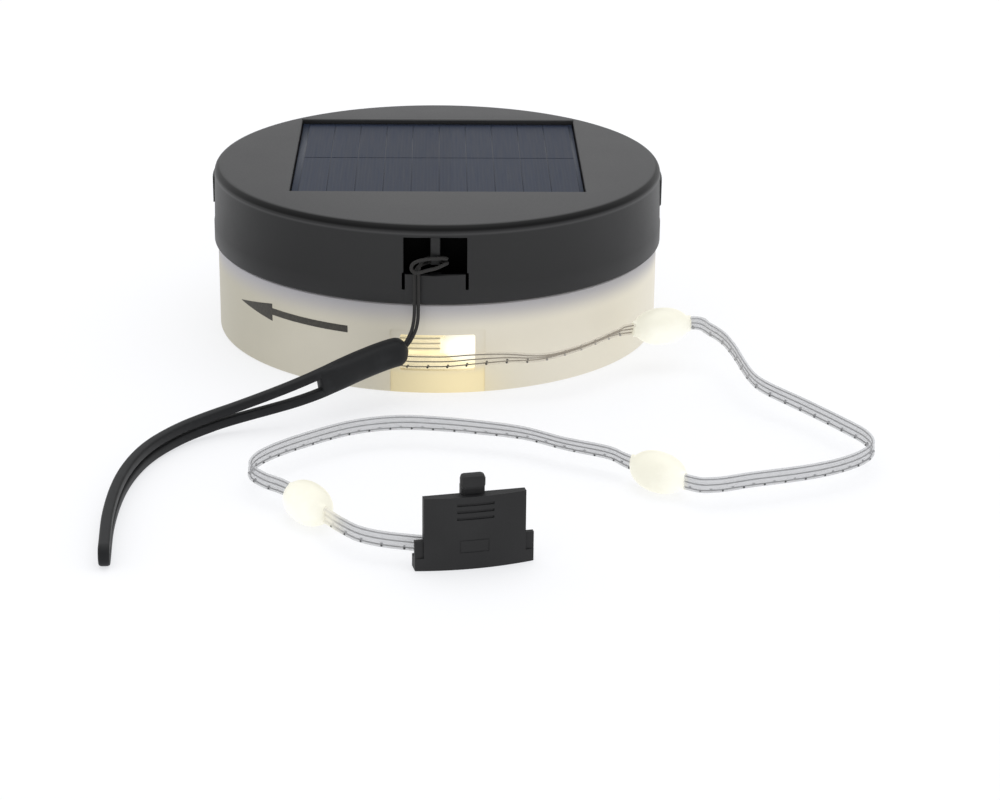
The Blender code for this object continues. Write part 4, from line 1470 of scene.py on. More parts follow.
def ribbon_section(width: float, cores: int, core: float, web: float) -> np.ndarray:
    """Outline of a flat string: round cores side by side, joined by thin webs.

    Args:
        width: the whole width.
        cores: how many cores it has.
        core: a core's diameter.
        web: the thickness between cores.

    Returns:
        The outline, its first axis across the width.
    """
    middles = np.linspace(-(width - core) / 2, (width - core) / 2, cores)
    across = np.linspace(-width / 2, width / 2, 25)
    near = np.min(np.abs(across[:, None] - middles[None]), axis=1)
    half = np.sqrt(np.clip((core / 2) ** 2 - near ** 2, 0.0, None))
    half = np.maximum(half, np.where(np.abs(across) < width / 2 - core / 4, web / 2, 0.0))
    upper = np.stack([across[1:-1], half[1:-1]], axis=1)
    lower = np.stack([across[-2:0:-1], -half[-2:0:-1]], axis=1)
    return np.vstack([[[-width / 2, 0.0]], upper, [[width / 2, 0.0]], lower])


@dataclass
class LightString:
    """The flat string that leaves the window, its wires and the three beads on it.

    The routes are in millimetres, with the ribbon's lean from upright in degrees.
    """

    width: float = 3.9 * MM
    core: float = 1.2 * MM
    web: float = 0.80 * MM
    wire: float = 0.16 * MM
    mark_spacing: float = 5.2 * MM
    mark_radius: float = 0.31 * MM
    mark_out: float = 0.41 * MM
    exit: Point = (-7.6 * MM, -57.7 * MM, 8.1 * MM)
    tail: list[Point] = field(default_factory=lambda: [
        (-17.5, -54.4, 8.3, 0), (-12.5, -55.8, 8.2, 0)])
    run_1: list[Point] = field(default_factory=lambda: [
        (-7.6, -57.7, 8.1, 0), (-2.0, -58.3, 8.2, 4), (3.0, -59.7, 8.8, 8),
        (9.3, -61.9, 10.2, 14), (17.2, -63.3, 11.2, 30), (26.6, -62.4, 11.0, 52),
        (36.2, -57.4, 11.8, 56), (45.5, -48.2, 12.3, 48)])
    run_2: list[Point] = field(default_factory=lambda: [
        (70.8, -39.0, 10.4, 10), (74.2, -44.2, 9.6, 6), (76.2, -52.4, 9.0, 4),
        (77.8, -61.3, 8.0, 6), (79.6, -68.2, 7.2, 8), (82.8, -72.8, 6.4, 8),
        (90.5, -82.1, 5.6, 2), (98.6, -95.1, 5.5, 0), (102.3, -102.3, 5.5, 0),
        (103.0, -108.9, 5.5, 2), (100.0, -114.6, 5.5, 2), (93.7, -120.0, 5.5, 0),
        (84.8, -124.4, 5.5, 0), (72.5, -128.4, 5.5, 0), (63.4, -130.9, 5.2, 0)])
    run_3: list[Point] = field(default_factory=lambda: [
        (40.3, -111.8, 5.3, -16), (30.1, -106.6, 5.5, -20), (20.9, -100.4, 5.6, -18),
        (11.1, -96.9, 5.6, -10), (-0.5, -94.2, 5.6, -4), (-10.5, -93.6, 5.6, 0),
        (-20.9, -97.0, 5.6, 0), (-31.4, -104.6, 5.5, 0), (-38.7, -111.6, 5.4, -2),
        (-42.4, -117.4, 5.3, -4), (-42.9, -123.0, 5.2, -4), (-39.6, -128.0, 5.1, -2)])
    run_4: list[Point] = field(default_factory=lambda: [
        (-20.6, -153.6, 4.9, 0), (-17.0, -157.6, 4.9, 0), (-11.8, -160.6, 5.0, 0),
        (-4.3, -162.6, 5.0, 0), (-2.0, -162.7, 5.0, 0)])
    beads: list[BeadShape] = field(default_factory=lambda: [
        BeadShape("bead_1", (58.3 * MM, -40.6 * MM, 11.7 * MM), 17.0, (0.5, -0.9, -0.5)),
        BeadShape("bead_2", (51.2 * MM, -122.6 * MM, 4.9 * MM), -44.0, (0.6, -0.9, -0.1)),
        BeadShape("bead_3", (-29.0 * MM, -140.7 * MM, 4.9 * MM), -58.0, (-0.7, -0.8, 0.0))])

    def route(self) -> np.ndarray:
        """The whole centreline, from inside the window, through the beads, to the clip.

        Returns:
            Stations with x, y, z and the lean in degrees.
        """
        one, two, three = self.beads

        def tip(bead: BeadShape, side: int, lean: float) -> tuple[float, ...]:
            """A bead's end as a route point."""
            return (*bead.end(side), lean)

        points = (as_metres(self.tail) + as_metres(self.run_1)
                  + [tip(one, -1, 30.0), tip(one, 1, 14.0)] + as_metres(self.run_2)
                  + [tip(two, 1, 0.0), tip(two, -1, -8.0)] + as_metres(self.run_3)
                  + [tip(three, -1, 0.0), tip(three, 1, 0.0)] + as_metres(self.run_4))
        return smooth_route(points, 0.8 * MM)

    def wires(self, route: np.ndarray, wide: np.ndarray) -> bpy.types.Object:
        """The three wires inside the sheath, as one piece.

        Args:
            route: the ribbon's stations.
            wide: direction of its width at each.

        Returns:
            The wires.
        """
        reach = (self.width - self.core) / 2
        thin = route[::2]
        bm = bmesh.new()
        bm.loops.layers.uv.new("along")
        for offset in (-reach, 0.0, reach):
            line = np.hstack([thin[:, :3] + wide[::2] * offset, thin[:, 3:]])
            bm.from_mesh(sweep(line, wide[::2], round_section(self.wire, 8)))
        return piece("string_wires", settle(bm), WIRE, sharp=60.0)

    def marks(self, route: np.ndarray, wide: np.ndarray) -> bpy.types.Object:
        """Small dark dots at an even spacing on both faces of the lowest core.

        Args:
            route: the ribbon's stations.
            wide: direction of its width at each.

        Returns:
            The dots.
        """
        lowest = (route[:, :3] - wide * (self.width - self.core) / 2)[::3]
        out = np.cross(directions(route), wide)[::3] * self.mark_out
        count = len(lowest)
        seed = bpy.data.meshes.new("mark_line")
        seed.from_pydata([tuple(p) for p in np.vstack([lowest + out, lowest - out])],
                         [(i, i + 1) for i in range(2 * count - 1) if i != count - 1], [])
        pattern = Pattern("string_marks", {
            "Spacing": self.mark_spacing, "Radius": self.mark_radius})
        curve = pattern.node("GeometryNodeMeshToCurve", None,
                             {"Mesh": pattern.given.outputs[0]})
        points = pattern.node("GeometryNodeResampleCurve", {"mode": "LENGTH"}, {
            "Curve": curve.outputs[0], "Length": pattern.size("Spacing")})
        knob = pattern.node("GeometryNodeMeshIcoSphere", None, {
            "Radius": pattern.size("Radius"), "Subdivisions": 2})
        copies = pattern.node("GeometryNodeInstanceOnPoints", None, {
            "Points": points.outputs[0], "Instance": knob.outputs[0]})
        pattern.close(copies.outputs[0], MARK)
        return piece("string_marks", pattern.grow(seed), MARK, sharp=60.0)

    def build(self, clip: bpy.types.Object) -> None:
        """Args:
            clip: the end clip, which hangs on the string's far end; not used.
        """
        route = self.route()
        wide = leaning(route)
        section = ribbon_section(self.width, 3, self.core, self.web)
        ribbon = piece("string_ribbon", sweep(route, wide, section), SHEATH, sharp=50.0)
        settle_on(ribbon, Body.BASE, Slot.STRING, "string_run_1", "string_run_2",
                  "string_run_3", "string_run_4")
        wires = settle_on(self.wires(route, wide), Body.BASE, Slot.STRING)
        marks = settle_on(self.marks(route, wide), Body.BASE, Slot.STRING)
        for bead, node in zip(self.beads, ("light_bead_1", "light_bead_2", "light_bead_3")):
            bead.build(Body.BASE, node, BEAD)


@dataclass
class WoundString:
    """Turns of string on the spool, the loose outer turn and the bead behind the window."""

    inner: float = 35.2 * MM
    layers: int = 10
    layer_pitch: float = 1.15 * MM
    rows: int = 3
    row_pitch: float = 4.3 * MM
    lowest: float = 8.4 * MM
    width: float = 3.9 * MM
    turn_width: float = 4.2 * MM
    thick: float = 0.95 * MM
    seed: int = 7
    loose_radius: float = 52.4 * MM
    loose_height: float = 11.0 * MM
    loose_end: float = 168.0
    wire: float = 0.19 * MM
    bead_angle: float = 9.5
    bead_power: float = 0.012

    def turns(self) -> bpy.types.Object:
        """All the turns that lie on the hub, as one piece.

        Returns:
            The turns.
        """
        pattern = Pattern("wound_turns", {
            "Inner": self.inner, "Layers": self.layers, "Layer pitch": self.layer_pitch,
            "Rows": self.rows, "Row pitch": self.row_pitch, "Lowest": self.lowest,
            "Width": self.turn_width, "Thick": self.thick, "Seed": self.seed})
        count = pattern.math("MULTIPLY", pattern.size("Layers"), pattern.size("Rows"))
        index = pattern.node("GeometryNodeInputIndex").outputs[0]
        layer = pattern.math("MODULO", index, pattern.size("Layers"))
        row = pattern.math("FLOOR", pattern.math("DIVIDE", index, pattern.size("Layers")))
        jitter = pattern.node("FunctionNodeRandomValue", {"data_type": "FLOAT"}, {
            2: -0.12 * MM, 3: 0.12 * MM, "Seed": pattern.size("Seed")}).outputs[1]
        radius = pattern.math("ADD", pattern.size("Inner"), pattern.math(
            "MULTIPLY", layer, pattern.size("Layer pitch")))
        height = pattern.math("ADD", pattern.math("ADD", pattern.size("Lowest"), jitter),
                              pattern.math("MULTIPLY", row, pattern.size("Row pitch")))
        place = pattern.node("ShaderNodeCombineXYZ", None, {"Z": height})
        spots = pattern.node("GeometryNodePoints", None, {
            "Count": count, "Position": place.outputs[0]})
        ring = pattern.node("GeometryNodeCurvePrimitiveCircle", None, {
            "Resolution": 96, "Radius": 1.0})
        stretch = pattern.node("ShaderNodeCombineXYZ", None, {
            "X": radius, "Y": radius, "Z": 1.0})
        copies = pattern.node("GeometryNodeInstanceOnPoints", None, {
            "Points": spots.outputs[0], "Instance": ring.outputs[0],
            "Scale": stretch.outputs[0]})
        curves = pattern.node("GeometryNodeRealizeInstances", None,
                              {"Geometry": copies.outputs[0]})
        upright = pattern.node("GeometryNodeSetCurveNormal", {"mode": "Z_UP"},
                               {"Curve": curves.outputs[0]})
        outline = pattern.node("GeometryNodeCurvePrimitiveQuadrilateral", None, {
            "Width": pattern.size("Thick"), "Height": pattern.size("Width")})
        soft = pattern.node("GeometryNodeFilletCurve", None, {
            "Curve": outline.outputs[0], "Radius": 0.35 * MM})
        band = pattern.node("GeometryNodeCurveToMesh", None, {
            "Curve": upright.outputs[0], "Profile Curve": soft.outputs[0]})
        pattern.close(band.outputs[0], COIL)
        seed = bpy.data.meshes.new("turn_seed")
        return piece("wound_turns", pattern.grow(seed), COIL, sharp=40.0)

    def arc(self, start: float, end: float) -> np.ndarray:
        """Stations of the loose turn between two angles from the front, in degrees.

        Args:
            start: the first angle.
            end: the last angle.

        Returns:
            Their points, one row each.
        """
        angles = np.radians(np.linspace(start, end, max(8, int(abs(end - start) / 2))))
        slack = 0.9 * MM * np.sin(angles * 3.0)
        places = np.stack([(self.loose_radius + slack) * np.sin(angles),
                           -(self.loose_radius + slack) * np.cos(angles),
                           self.loose_height + 0.4 * MM * np.sin(angles * 5.0),
                           np.zeros(len(angles))], axis=1)
        return places

    def build(self, core: float, web: float) -> None:
        """Make the turns, the loose turn with its wires, and the bead on it.

        Args:
            core: a core's diameter.
            web: the thickness between cores.
        """
        settle_on(self.turns(), Body.LID, Slot.STRING, "wound_string")
        route = self.arc(-self.loose_end, self.loose_end)
        wide = leaning(route)
        section = ribbon_section(self.width, 3, core, web)
        settle_on(piece("loose_turn", sweep(route, wide, section), LIT_SHEATH, sharp=50.0),
                  Body.LID, Slot.STRING)
        bm = bmesh.new()
        bm.loops.layers.uv.new("along")
        reach = (self.width - core) / 2
        for offset in (-reach, 0.0, reach):
            line = np.hstack([route[:, :3] + wide * offset, route[:, 3:]])
            bm.from_mesh(sweep(line, wide, round_section(self.wire, 8)))
        settle_on(piece("loose_turn_wires", settle(bm), WIRE, sharp=60.0), Body.LID,
                  Slot.STRING)
        low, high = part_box("spool_bead")
        middle = (low + high) / 2
        bead = BeadShape("spool_bead_glow", tuple(middle), self.bead_angle, (0.0, -1.0, 0.1))
        bead.build(Body.LID, "spool_bead", SPOOL_BEAD)
        bead.lamp(self.bead_power, 3.0 * MM)


# ------------------------------------------------------------------- clip


@dataclass
class EndClip:
    """Clip on the string's end: bowed plate, plug, foot bar, ears and nub.

    The places of the ribs and the rectangle are in millimetres across and up the face.
    """

    place: Point = (8.4 * MM, -165.2 * MM)
    turn: float = 12.4
    width: float = 22.6 * MM
    height: float = 17.0 * MM
    plate: float = 2.8 * MM
    bar_width: float = 26.4 * MM
    bar_height: float = 3.0 * MM
    bar_depth: float = 4.6 * MM
    bow: float = 60.0 * MM
    ear: Point = (2.3 * MM, 1.5 * MM, 0.5 * MM)
    ear_end: Point = (2.6 * MM, 7.0 * MM)
    plug_half: float = 9.2 * MM
    plug_deep: float = 6.0 * MM
    plug_heights: Point = (2.8 * MM, 11.6 * MM)
    nub_sides: Point = (-3.1 * MM, 2.3 * MM)
    nub_depths: Point = (0.6 * MM, 3.6 * MM)
    nub_rise: float = 4.6 * MM
    edge: float = 0.30 * MM
    rib_heights: Point = (12.0, 13.6, 15.2)
    rib_half: float = 0.32
    rib_ends: Point = (-4.2, 4.0)
    rib_depth: float = 0.30 * MM
    frame_low: Point = (-3.6, 4.0)
    frame_high: Point = (2.9, 7.05)
    frame_line: float = 0.25
    frame_depth: float = 0.09 * MM

    def bowed(self, depth: float) -> Solid:
        """A solid whose front is the bowed face, sunk by a depth."""
        return Solid.rod(self.bow - depth, -2 * MM, self.height + 9 * MM, (0.0, self.bow),
                         sides=384)

    def groove(self, low: tuple[float, float], high: tuple[float, float],
               depth: float) -> Solid:
        """A cut of even depth in the bowed face.

        Args:
            low: across and up to its lowest corner, in millimetres.
            high: across and up to its highest corner, in millimetres.
            depth: how deep it is.

        Returns:
            The solid to cut away.
        """
        block = Solid.box((low[0] * MM, -2 * MM, low[1] * MM),
                          (high[0] * MM, 2 * MM, high[1] * MM))
        return block.cut(self.bowed(depth))

    def engrave(self, clip: Solid) -> None:
        """Cut the grip ribs and the plain rectangle into the face.

        Args:
            clip: the clip, whose face they are cut into.
        """
        start, end = self.rib_ends
        for height in self.rib_heights:
            clip.cut(self.groove((start, height - self.rib_half), (end, height + self.rib_half),
                                 self.rib_depth))
        (left, low), (right, high), line = self.frame_low, self.frame_high, self.frame_line
        for corner, opposite in (((left, low), (right, low + line)),
                                 ((left, high - line), (right, high)),
                                 ((left, low + line), (left + line, high - line)),
                                 ((right - line, low + line), (right, high - line))):
            clip.cut(self.groove(corner, opposite, self.frame_depth))

    def build(self) -> bpy.types.Object:
        """Make the clip and return it.

        Returns:
            The clip.
        """
        half, bar = self.width / 2, self.bar_width / 2
        clip = Solid.box((-half, -MM, 0.2 * MM), (half, self.plate, self.height))
        clip.join(Solid.box((-bar, -MM, 0.1 * MM), (bar, self.bar_depth, self.bar_height)))
        thick, ear_front, ear_low = self.ear
        for side in (-1, 1):
            near, far = sorted((side * bar, side * (bar - thick)))
            clip.join(Solid.box((near, ear_front, ear_low), (far, *self.ear_end)))
        plug, behind = self.plug_half, self.plate
        low, high = self.plug_heights
        clip.join(Solid.box((-plug, behind - 0.5 * MM, low),
                            (plug, behind + self.plug_deep, high)))
        left, right = self.nub_sides
        clip.join(Solid.box((left + 0.1 * MM, 1.7 * MM, self.height - 4 * MM),
                            (right - 0.1 * MM, 3.5 * MM, self.height + 2 * MM)))
        front, back = self.nub_depths
        clip.join(Solid.box((left, front, self.height + 1.2 * MM),
                            (right, back, self.height + self.nub_rise), 0.9 * MM, 2))
        wall = 1.2 * MM
        clip.cut(Solid.box((wall - plug, behind + wall, low + wall),
                           (plug - wall, behind + self.plug_deep + MM, high - wall)))
        clip.trim(self.bowed(0.0))
        clip.round_edges(self.edge, 3, 50.0)
        self.engrave(clip)
        place = (Matrix.Translation((*self.place, 0.0))
                 @ Matrix.Rotation(math.radians(self.turn), 4, "Z"))
        obj = piece("window_clip", clip.mesh(place), CLIP_BLACK, sharp=0.4)
        return settle_on(obj, Body.BASE, Slot.PLASTIC, "end_clip")


# ---------------------------------------------------------------- lanyard


@dataclass
class Lanyard:
    """Doubled cord hitched on the lid's post, and the silicone strap it holds.

    The routes are in millimetres.
    """

    cord: float = 0.9 * MM
    cord_route: list[Point] = field(default_factory=lambda: [
        (-8.0, -65.0, 14.6), (-6.7, -64.2, 16.2), (-5.5, -63.2, 18.5), (-4.95, -62.4, 21.0),
        (-4.85, -61.9, 23.6), (-4.8, -61.5, 27.0), (-4.8, -61.2, 31.8), (-4.6, -60.6, 34.2),
        (-3.5, -58.3, 35.3), (-1.8, -55.9, 35.2), (0.2, -55.4, 35.1), (1.7, -56.8, 35.4),
        (2.2, -59.0, 35.9), (0.6, -59.7, 36.2), (-2.4, -60.4, 36.2), (-4.8, -61.5, 36.1),
        (-6.3, -61.9, 35.3), (-6.5, -61.9, 34.0), (-5.6, -62.0, 33.2), (-4.2, -61.9, 33.3),
        (-2.4, -60.9, 33.5), (-0.4, -60.3, 33.8), (1.4, -59.8, 34.5), (2.4, -58.4, 34.6),
        (1.4, -55.9, 34.2), (-0.4, -55.3, 34.0), (-2.9, -56.7, 34.0), (-4.7, -59.5, 34.0),
        (-5.6, -60.9, 32.8), (-5.75, -61.2, 30.6), (-5.75, -61.5, 27.0), (-5.8, -61.9, 23.6),
        (-5.95, -62.4, 21.0), (-6.5, -63.2, 18.4), (-7.75, -64.4, 16.0), (-9.0, -65.2, 14.4)])
    spine: list[Point] = field(default_factory=lambda: [
        (-7.4, -65.2, 13.9), (-11.9, -66.6, 13.4), (-19.3, -70.6, 11.8),
        (-28.3, -77.8, 10.0), (-34.3, -81.1, 8.6), (-40.4, -83.2, 7.1),
        (-49.4, -86.0, 5.0), (-55.2, -89.0, 4.0), (-62.0, -95.0, 3.2),
        (-67.8, -104.2, 2.8), (-71.2, -115.0, 2.7), (-73.0, -128.0, 2.6),
        (-73.2, -145.0, 2.6), (-71.9, -163.4, 2.6)])
    grip_length: float = 26.2 * MM
    grip_tall: float = 7.1 * MM
    grip_thick: float = 6.4 * MM
    band_tall: float = 2.3 * MM
    band_thick: float = 2.6 * MM
    fork_apart: float = 2.6 * MM
    band_apart: float = 1.4 * MM
    fork_length: float = 32.0 * MM

    def grip(self, spine: np.ndarray, at: np.ndarray) -> bpy.types.Object:
        """The thick end: domed at the cord, flattened where the bands leave it.

        Args:
            spine: points along the strap's middle.
            at: how far along each lies.

        Returns:
            The grip.
        """
        keep = at <= self.grip_length
        route, along = spine[keep], at[keep] / self.grip_length
        dome = np.sqrt(np.clip(1.0 - (1.0 - np.clip(along / 0.12, 0.0, 1.0)) ** 2, 0.02, 1.0))
        flat = np.clip((along - 0.45) / 0.55, 0.0, 1.0) ** 2
        flat = flat * flat * (3 - 2 * flat)
        tail = np.sqrt(np.clip(1.0 - np.clip((along - 0.955) / 0.045, 0.0, 1.0) ** 2, 0.03, 1.0))
        tall = self.grip_tall * dome
        thick = (self.grip_thick * (1 - flat) + (self.band_thick + 0.9 * MM) * flat) * dome
        outlines = np.stack([pad_section(t, w * e, 40, 2.6 + 1.4 * f)
                             for t, w, e, f in zip(tall, thick, tail, flat)])
        wide = leaning(np.hstack([route[:, :3], np.zeros((len(route), 1))]))
        return piece("strap_grip", sweep(route, wide, outlines), STRAP_SILICONE, sharp=60.0)

    def bands(self, spine: np.ndarray, at: np.ndarray) -> bpy.types.Object:
        """The band that runs out from the grip, round its end and back.

        Args:
            spine: points along the strap's middle.
            at: how far along each lies.

        Returns:
            The band.
        """
        start = self.grip_length - 4 * MM
        keep = at >= start
        line, along = spine[keep], (at[keep] - start) / self.fork_length
        ease = np.clip(along, 0.0, 1.0)
        ease = ease * ease * (3 - 2 * ease)
        apart = self.fork_apart + (self.band_apart - self.fork_apart) * ease
        up = np.array([0.0, 0.0, 1.0])
        upper = line[:, :3] + up * apart[:, None]
        lower = line[:, :3] - up * apart[:, None]
        ahead = directions(line)[-1]
        bend = [line[-1, :3] + self.band_apart * (ahead * math.sin(a) + up * math.cos(a))
                for a in np.radians(np.arange(20, 180, 20))]
        loop = np.vstack([upper, bend, lower[::-1]])
        level = np.cross(directions(line), up)
        level /= np.linalg.norm(level, axis=1)[:, None]
        wide = np.vstack([level, np.repeat(level[-1:], len(bend), axis=0), level[::-1]])
        section = pad_section(self.band_thick, self.band_tall, 24, 4.0)
        return piece("strap_bands", sweep(loop, wide, section), STRAP_SILICONE, sharp=60.0)

    def build(self) -> None:
        spine = smooth_route(as_metres(self.spine), 0.7 * MM)
        steps = np.linalg.norm(np.diff(spine, axis=0), axis=1)
        at = np.concatenate([[0.0], np.cumsum(steps)])
        grip = settle_on(self.grip(spine, at), Body.LID, Slot.RUBBER, "lanyard_strap")
        settle_on(self.bands(spine, at), Body.LID, Slot.RUBBER)
        route = smooth_route(as_metres(self.cord_route), 0.35 * MM)
        level = np.repeat([[0.3, 1.0, 0.2]], len(route), axis=0)
        cord = piece("hitch_cord", sweep(route, level, round_section(self.cord / 2, 12)), BRAID,
                     sharp=60.0)
        settle_on(cord, Body.LID, Slot.CORD, "lanyard_cord")


# ------------------------------------------------------------------ shell


@dataclass
class FrostedShell:
    """Milky base of the drum, its window and clip seat, and the printed arrow.

    The arrow's angles are in degrees from the front, its heights and radii in millimetres.
    """

    radius: float = 59.5 * MM
    wall: float = 1.8 * MM
    top: float = 23.8 * MM
    floor_low: float = 2.6 * MM
    floor_top: float = 4.0 * MM
    bore: float = 10.0 * MM
    seat_half: float = 12.1 * MM
    seat_top: float = 17.0 * MM
    seat_depth: float = 0.4 * MM
    window_half: float = 9.55 * MM
    window_low: float = 6.0 * MM
    window_high: float = 15.6 * MM
    arrow_angles: Point = (-22.6, -45.9, -60.0)
    arrow_shaft: Point = (14.9, 16.7)
    arrow_head: Point = (13.2, 17.9)
    arrow_tip: float = 15.1
    ink_radii: Point = (59.42, 59.56)

    def build(self) -> None:
        """Make the shell and its arrow."""
        inner = self.radius - self.wall
        foot = 0.7 * MM
        bend = [(self.radius - foot + foot * math.cos(a), foot - foot * math.sin(a))
                for a in np.radians(np.arange(0, 91, 15))]
        lip = 0.3 * MM
        shell = Solid.turned(
            [(self.radius - lip, self.top), (self.radius, self.top - lip), *bend,
             (inner, 0.0), (inner, self.floor_low), (self.bore, self.floor_low),
             (self.bore, self.floor_top), (inner, self.floor_top), (inner, self.top)],
            256, closed=True)
        front = -self.radius - 2 * MM
        seat = Solid.box((-self.seat_half, front, -MM),
                         (self.seat_half, -inner + 4 * MM, self.seat_top), 0.5 * MM)
        seat.cut(Solid.rod(self.radius - self.seat_depth, -2 * MM, self.seat_top + MM,
                           sides=256))
        shell.cut(seat)
        shell.cut(Solid.box((-self.window_half, front, self.window_low),
                            (self.window_half, -inner + 6 * MM, self.window_high),
                            0.6 * MM, 4))
        obj = piece("milky_shell", shell.mesh(), MILKY, sharp=30.0)
        settle_on(obj, Body.BASE, Slot.MILKY, "frosted_shell")
        self.arrow()

    def arrow(self) -> None:
        """The winding arrow: a thin layer of ink wrapped on the wall."""
        tail, neck, tip = self.arrow_angles
        barb_low, barb_high = self.arrow_head
        stations = [(a, *self.arrow_shaft) for a in np.linspace(tail, neck, 24)]
        stations += [(neck + share * (tip - neck),
                      barb_low + share * (self.arrow_tip - barb_low),
                      barb_high - share * (barb_high - self.arrow_tip))
                     for share in np.linspace(0.0, 0.98, 16)]
        inside, outside = self.ink_radii
        bm = bmesh.new()
        rows = []
        for angle, low, high in stations:
            turn = math.radians(angle)
            row = []
            for radius, height in ((inside, low), (outside, low), (outside, high),
                                   (inside, high)):
                row.append(bm.verts.new((radius * MM * math.sin(turn),
                                         -radius * MM * math.cos(turn), height * MM)))
            rows.append(row)
        for before, after in zip(rows, rows[1:]):
            for j in range(4):
                k = (j + 1) % 4
                bm.faces.new([before[j], before[k], after[k], after[j]])
        bm.faces.new(rows[0])
        bm.faces.new(rows[-1])
        obj = piece("winding_arrow", settle(bm), INK)
        settle_on(obj, Body.BASE, Slot.MILKY)


# -------------------------------------------------------------------- lid


@dataclass
class LidHousing:
    """Black cap with the panel recess and the lanyard pocket, and its side pads."""

    radius: float = 60.0 * MM
    draft: float = 0.4 * MM
    wall: float = 1.8 * MM
    low: float = 24.1 * MM
    top: float = 44.7 * MM
    under: float = 40.6 * MM
    shoulder: float = 2.0 * MM
    panel_half: Point = (38.5 * MM, 35.75 * MM)
    panel_y: float = 6.3 * MM
    recess_floor: float = 42.0 * MM
    pocket_x: float = -0.6 * MM
    pocket_half: float = 8.0 * MM
    pocket_low: float = 32.0 * MM
    pocket_high: float = 41.6 * MM
    pocket_back: float = -50.2 * MM
    slit: float = 0.8 * MM
    slit_low: float = 28.0 * MM
    post_half: float = 1.25 * MM
    post_low: float = 34.2 * MM
    pad_radius: float = 60.55 * MM
    pad_low: float = 34.1 * MM
    pad_high: float = 41.3 * MM
    gap: float = 0.3 * MM
    edge: float = 0.3 * MM
    behind_wall: float = -59.0 * MM
    post_back: float = -56.5 * MM
    box_wall: float = 1.6 * MM
    box_front: float = -57.6 * MM
    box_low: float = 27.5 * MM
    button_half: float = 5.0 * MM
    button_inside: float = -56.9 * MM
    trim_span: Point = (30.0 * MM, 45.0 * MM)
    cover_half: float = 7.0 * MM
    cover_inside: float = 59.0 * MM
    hinge_room: float = 1.9 * MM
    block_low: Point = (55.5 * MM, -9.0 * MM, 31.5 * MM)
    block_high: Point = (58.8 * MM, 10.5 * MM, 41.6 * MM)
    port_low: Point = (50.0 * MM, -4.75 * MM, 36.5 * MM)
    port_high: Point = (61.0 * MM, 4.75 * MM, 40.0 * MM)
    lens_radius: float = 1.5 * MM
    lens_rise: float = 0.65 * MM
    lens_height: float = 28.2 * MM
    lens_inside: float = 56.9 * MM

    def profile(self) -> list[tuple[float, float]]:
        """Outline of the cap from its top's middle round to its underside.

        Returns:
            Radius and height of each corner.
        """
        bend = [(self.radius - self.shoulder + self.shoulder * math.sin(a),
                 self.top - self.shoulder + self.shoulder * math.cos(a))
                for a in np.radians(np.arange(0, 91, 9))]
        step, lip = 29.3 * MM, 0.35 * MM
        at_step = self.radius + self.draft * (self.top - step) / (self.top - self.low)
        wide = self.radius + self.draft
        inner = self.radius + self.draft - self.wall - 0.2 * MM
        return [(0.0, self.top), *bend, (at_step, step + 0.15 * MM),
                (at_step + 0.14 * MM, step - 0.14 * MM), (wide + 0.05 * MM, self.low + lip),
                (wide - lip + 0.05 * MM, self.low), (inner, self.low), (inner, self.under),
                (0.0, self.under)]

    def pocket(self, lid: Solid) -> None:
        """Pocket box, its mouth, the two slits of the tongue, and the post.

        Args:
            lid: the cap, which they are cut into and joined to.
        """
        x = self.pocket_x
        half = self.pocket_half + self.slit
        back = self.pocket_back
        wall = self.box_wall
        lid.join(Solid.box((x - half - wall, self.behind_wall, self.box_low - wall),
                           (x + half + wall, back + wall, self.under + MM)))
        lid.cut(Solid.box((x - half, self.box_front, self.box_low),
                          (x + half, back, self.pocket_high)))
        front = -self.radius - 3 * MM
        lid.cut(Solid.box((x - self.pocket_half, front, self.pocket_low),
                          (x + self.pocket_half, back - MM, self.pocket_high), 0.25 * MM, 2))
        lip = -self.radius + 0.25 * MM
        lid.cut(Solid.flared((x - self.pocket_half, -self.radius - 0.55 * MM, self.pocket_low),
                             (x + self.pocket_half, lip, self.pocket_high), 1, -0.5 * MM))
        for side in (-1, 1):
            middle = x + side * self.pocket_half
            lid.cut(Solid.box((middle - self.slit / 2, front, self.slit_low),
                              (middle + self.slit / 2, back - 2 * MM,
                               self.pocket_low + 0.4 * MM), 0.2 * MM, 2))
        lid.join(Solid.box((x - self.post_half, self.behind_wall, self.post_low),
                           (x + self.post_half, self.post_back, self.pocket_high + 0.6 * MM),
                           0.35 * MM, 3))

    def build(self) -> None:
        """Make the cap and the small parts in its wall."""
        lid = Solid.turned(self.profile(), 256)
        self.pocket(lid)
        half_x, half_y = self.panel_half
        lid.cut(Solid.box((-half_x, self.panel_y - half_y, self.recess_floor),
                          (half_x, self.panel_y + half_y, self.top + 2 * MM)))
        lid.cut(Solid.flared((-half_x, self.panel_y - half_y, self.top - 0.25 * MM),
                             (half_x, self.panel_y + half_y, self.top + 0.15 * MM), 2,
                             0.4 * MM))
        low, high = self.pad_low - self.gap, self.pad_high + self.gap
        outside = self.radius + 3 * MM
        button, cover = self.button_half + self.gap, self.cover_half + self.gap
        lid.cut(Solid.box((-outside, -button, low), (-self.radius + 5 * MM, button, high),
                          0.7 * MM, 3))
        lid.cut(Solid.box((self.cover_inside - self.gap, -cover, low),
                          (outside, self.cover_half + self.hinge_room, high)))
        lid.cut(Solid.rod(self.lens_radius + self.gap, self.lens_inside - 0.5 * MM, outside,
                          (0.0, self.lens_height), along_x=True))
        lid.join(Solid.box(self.block_low, self.block_high)
                 .cut(Solid.box(self.port_low, self.port_high)))
        obj = piece("lid_cap", lid.mesh(), LID_BLACK, sharp=28.0)
        settle_on(obj, Body.LID, Slot.PLASTIC, "lid_housing")
        self.pads()

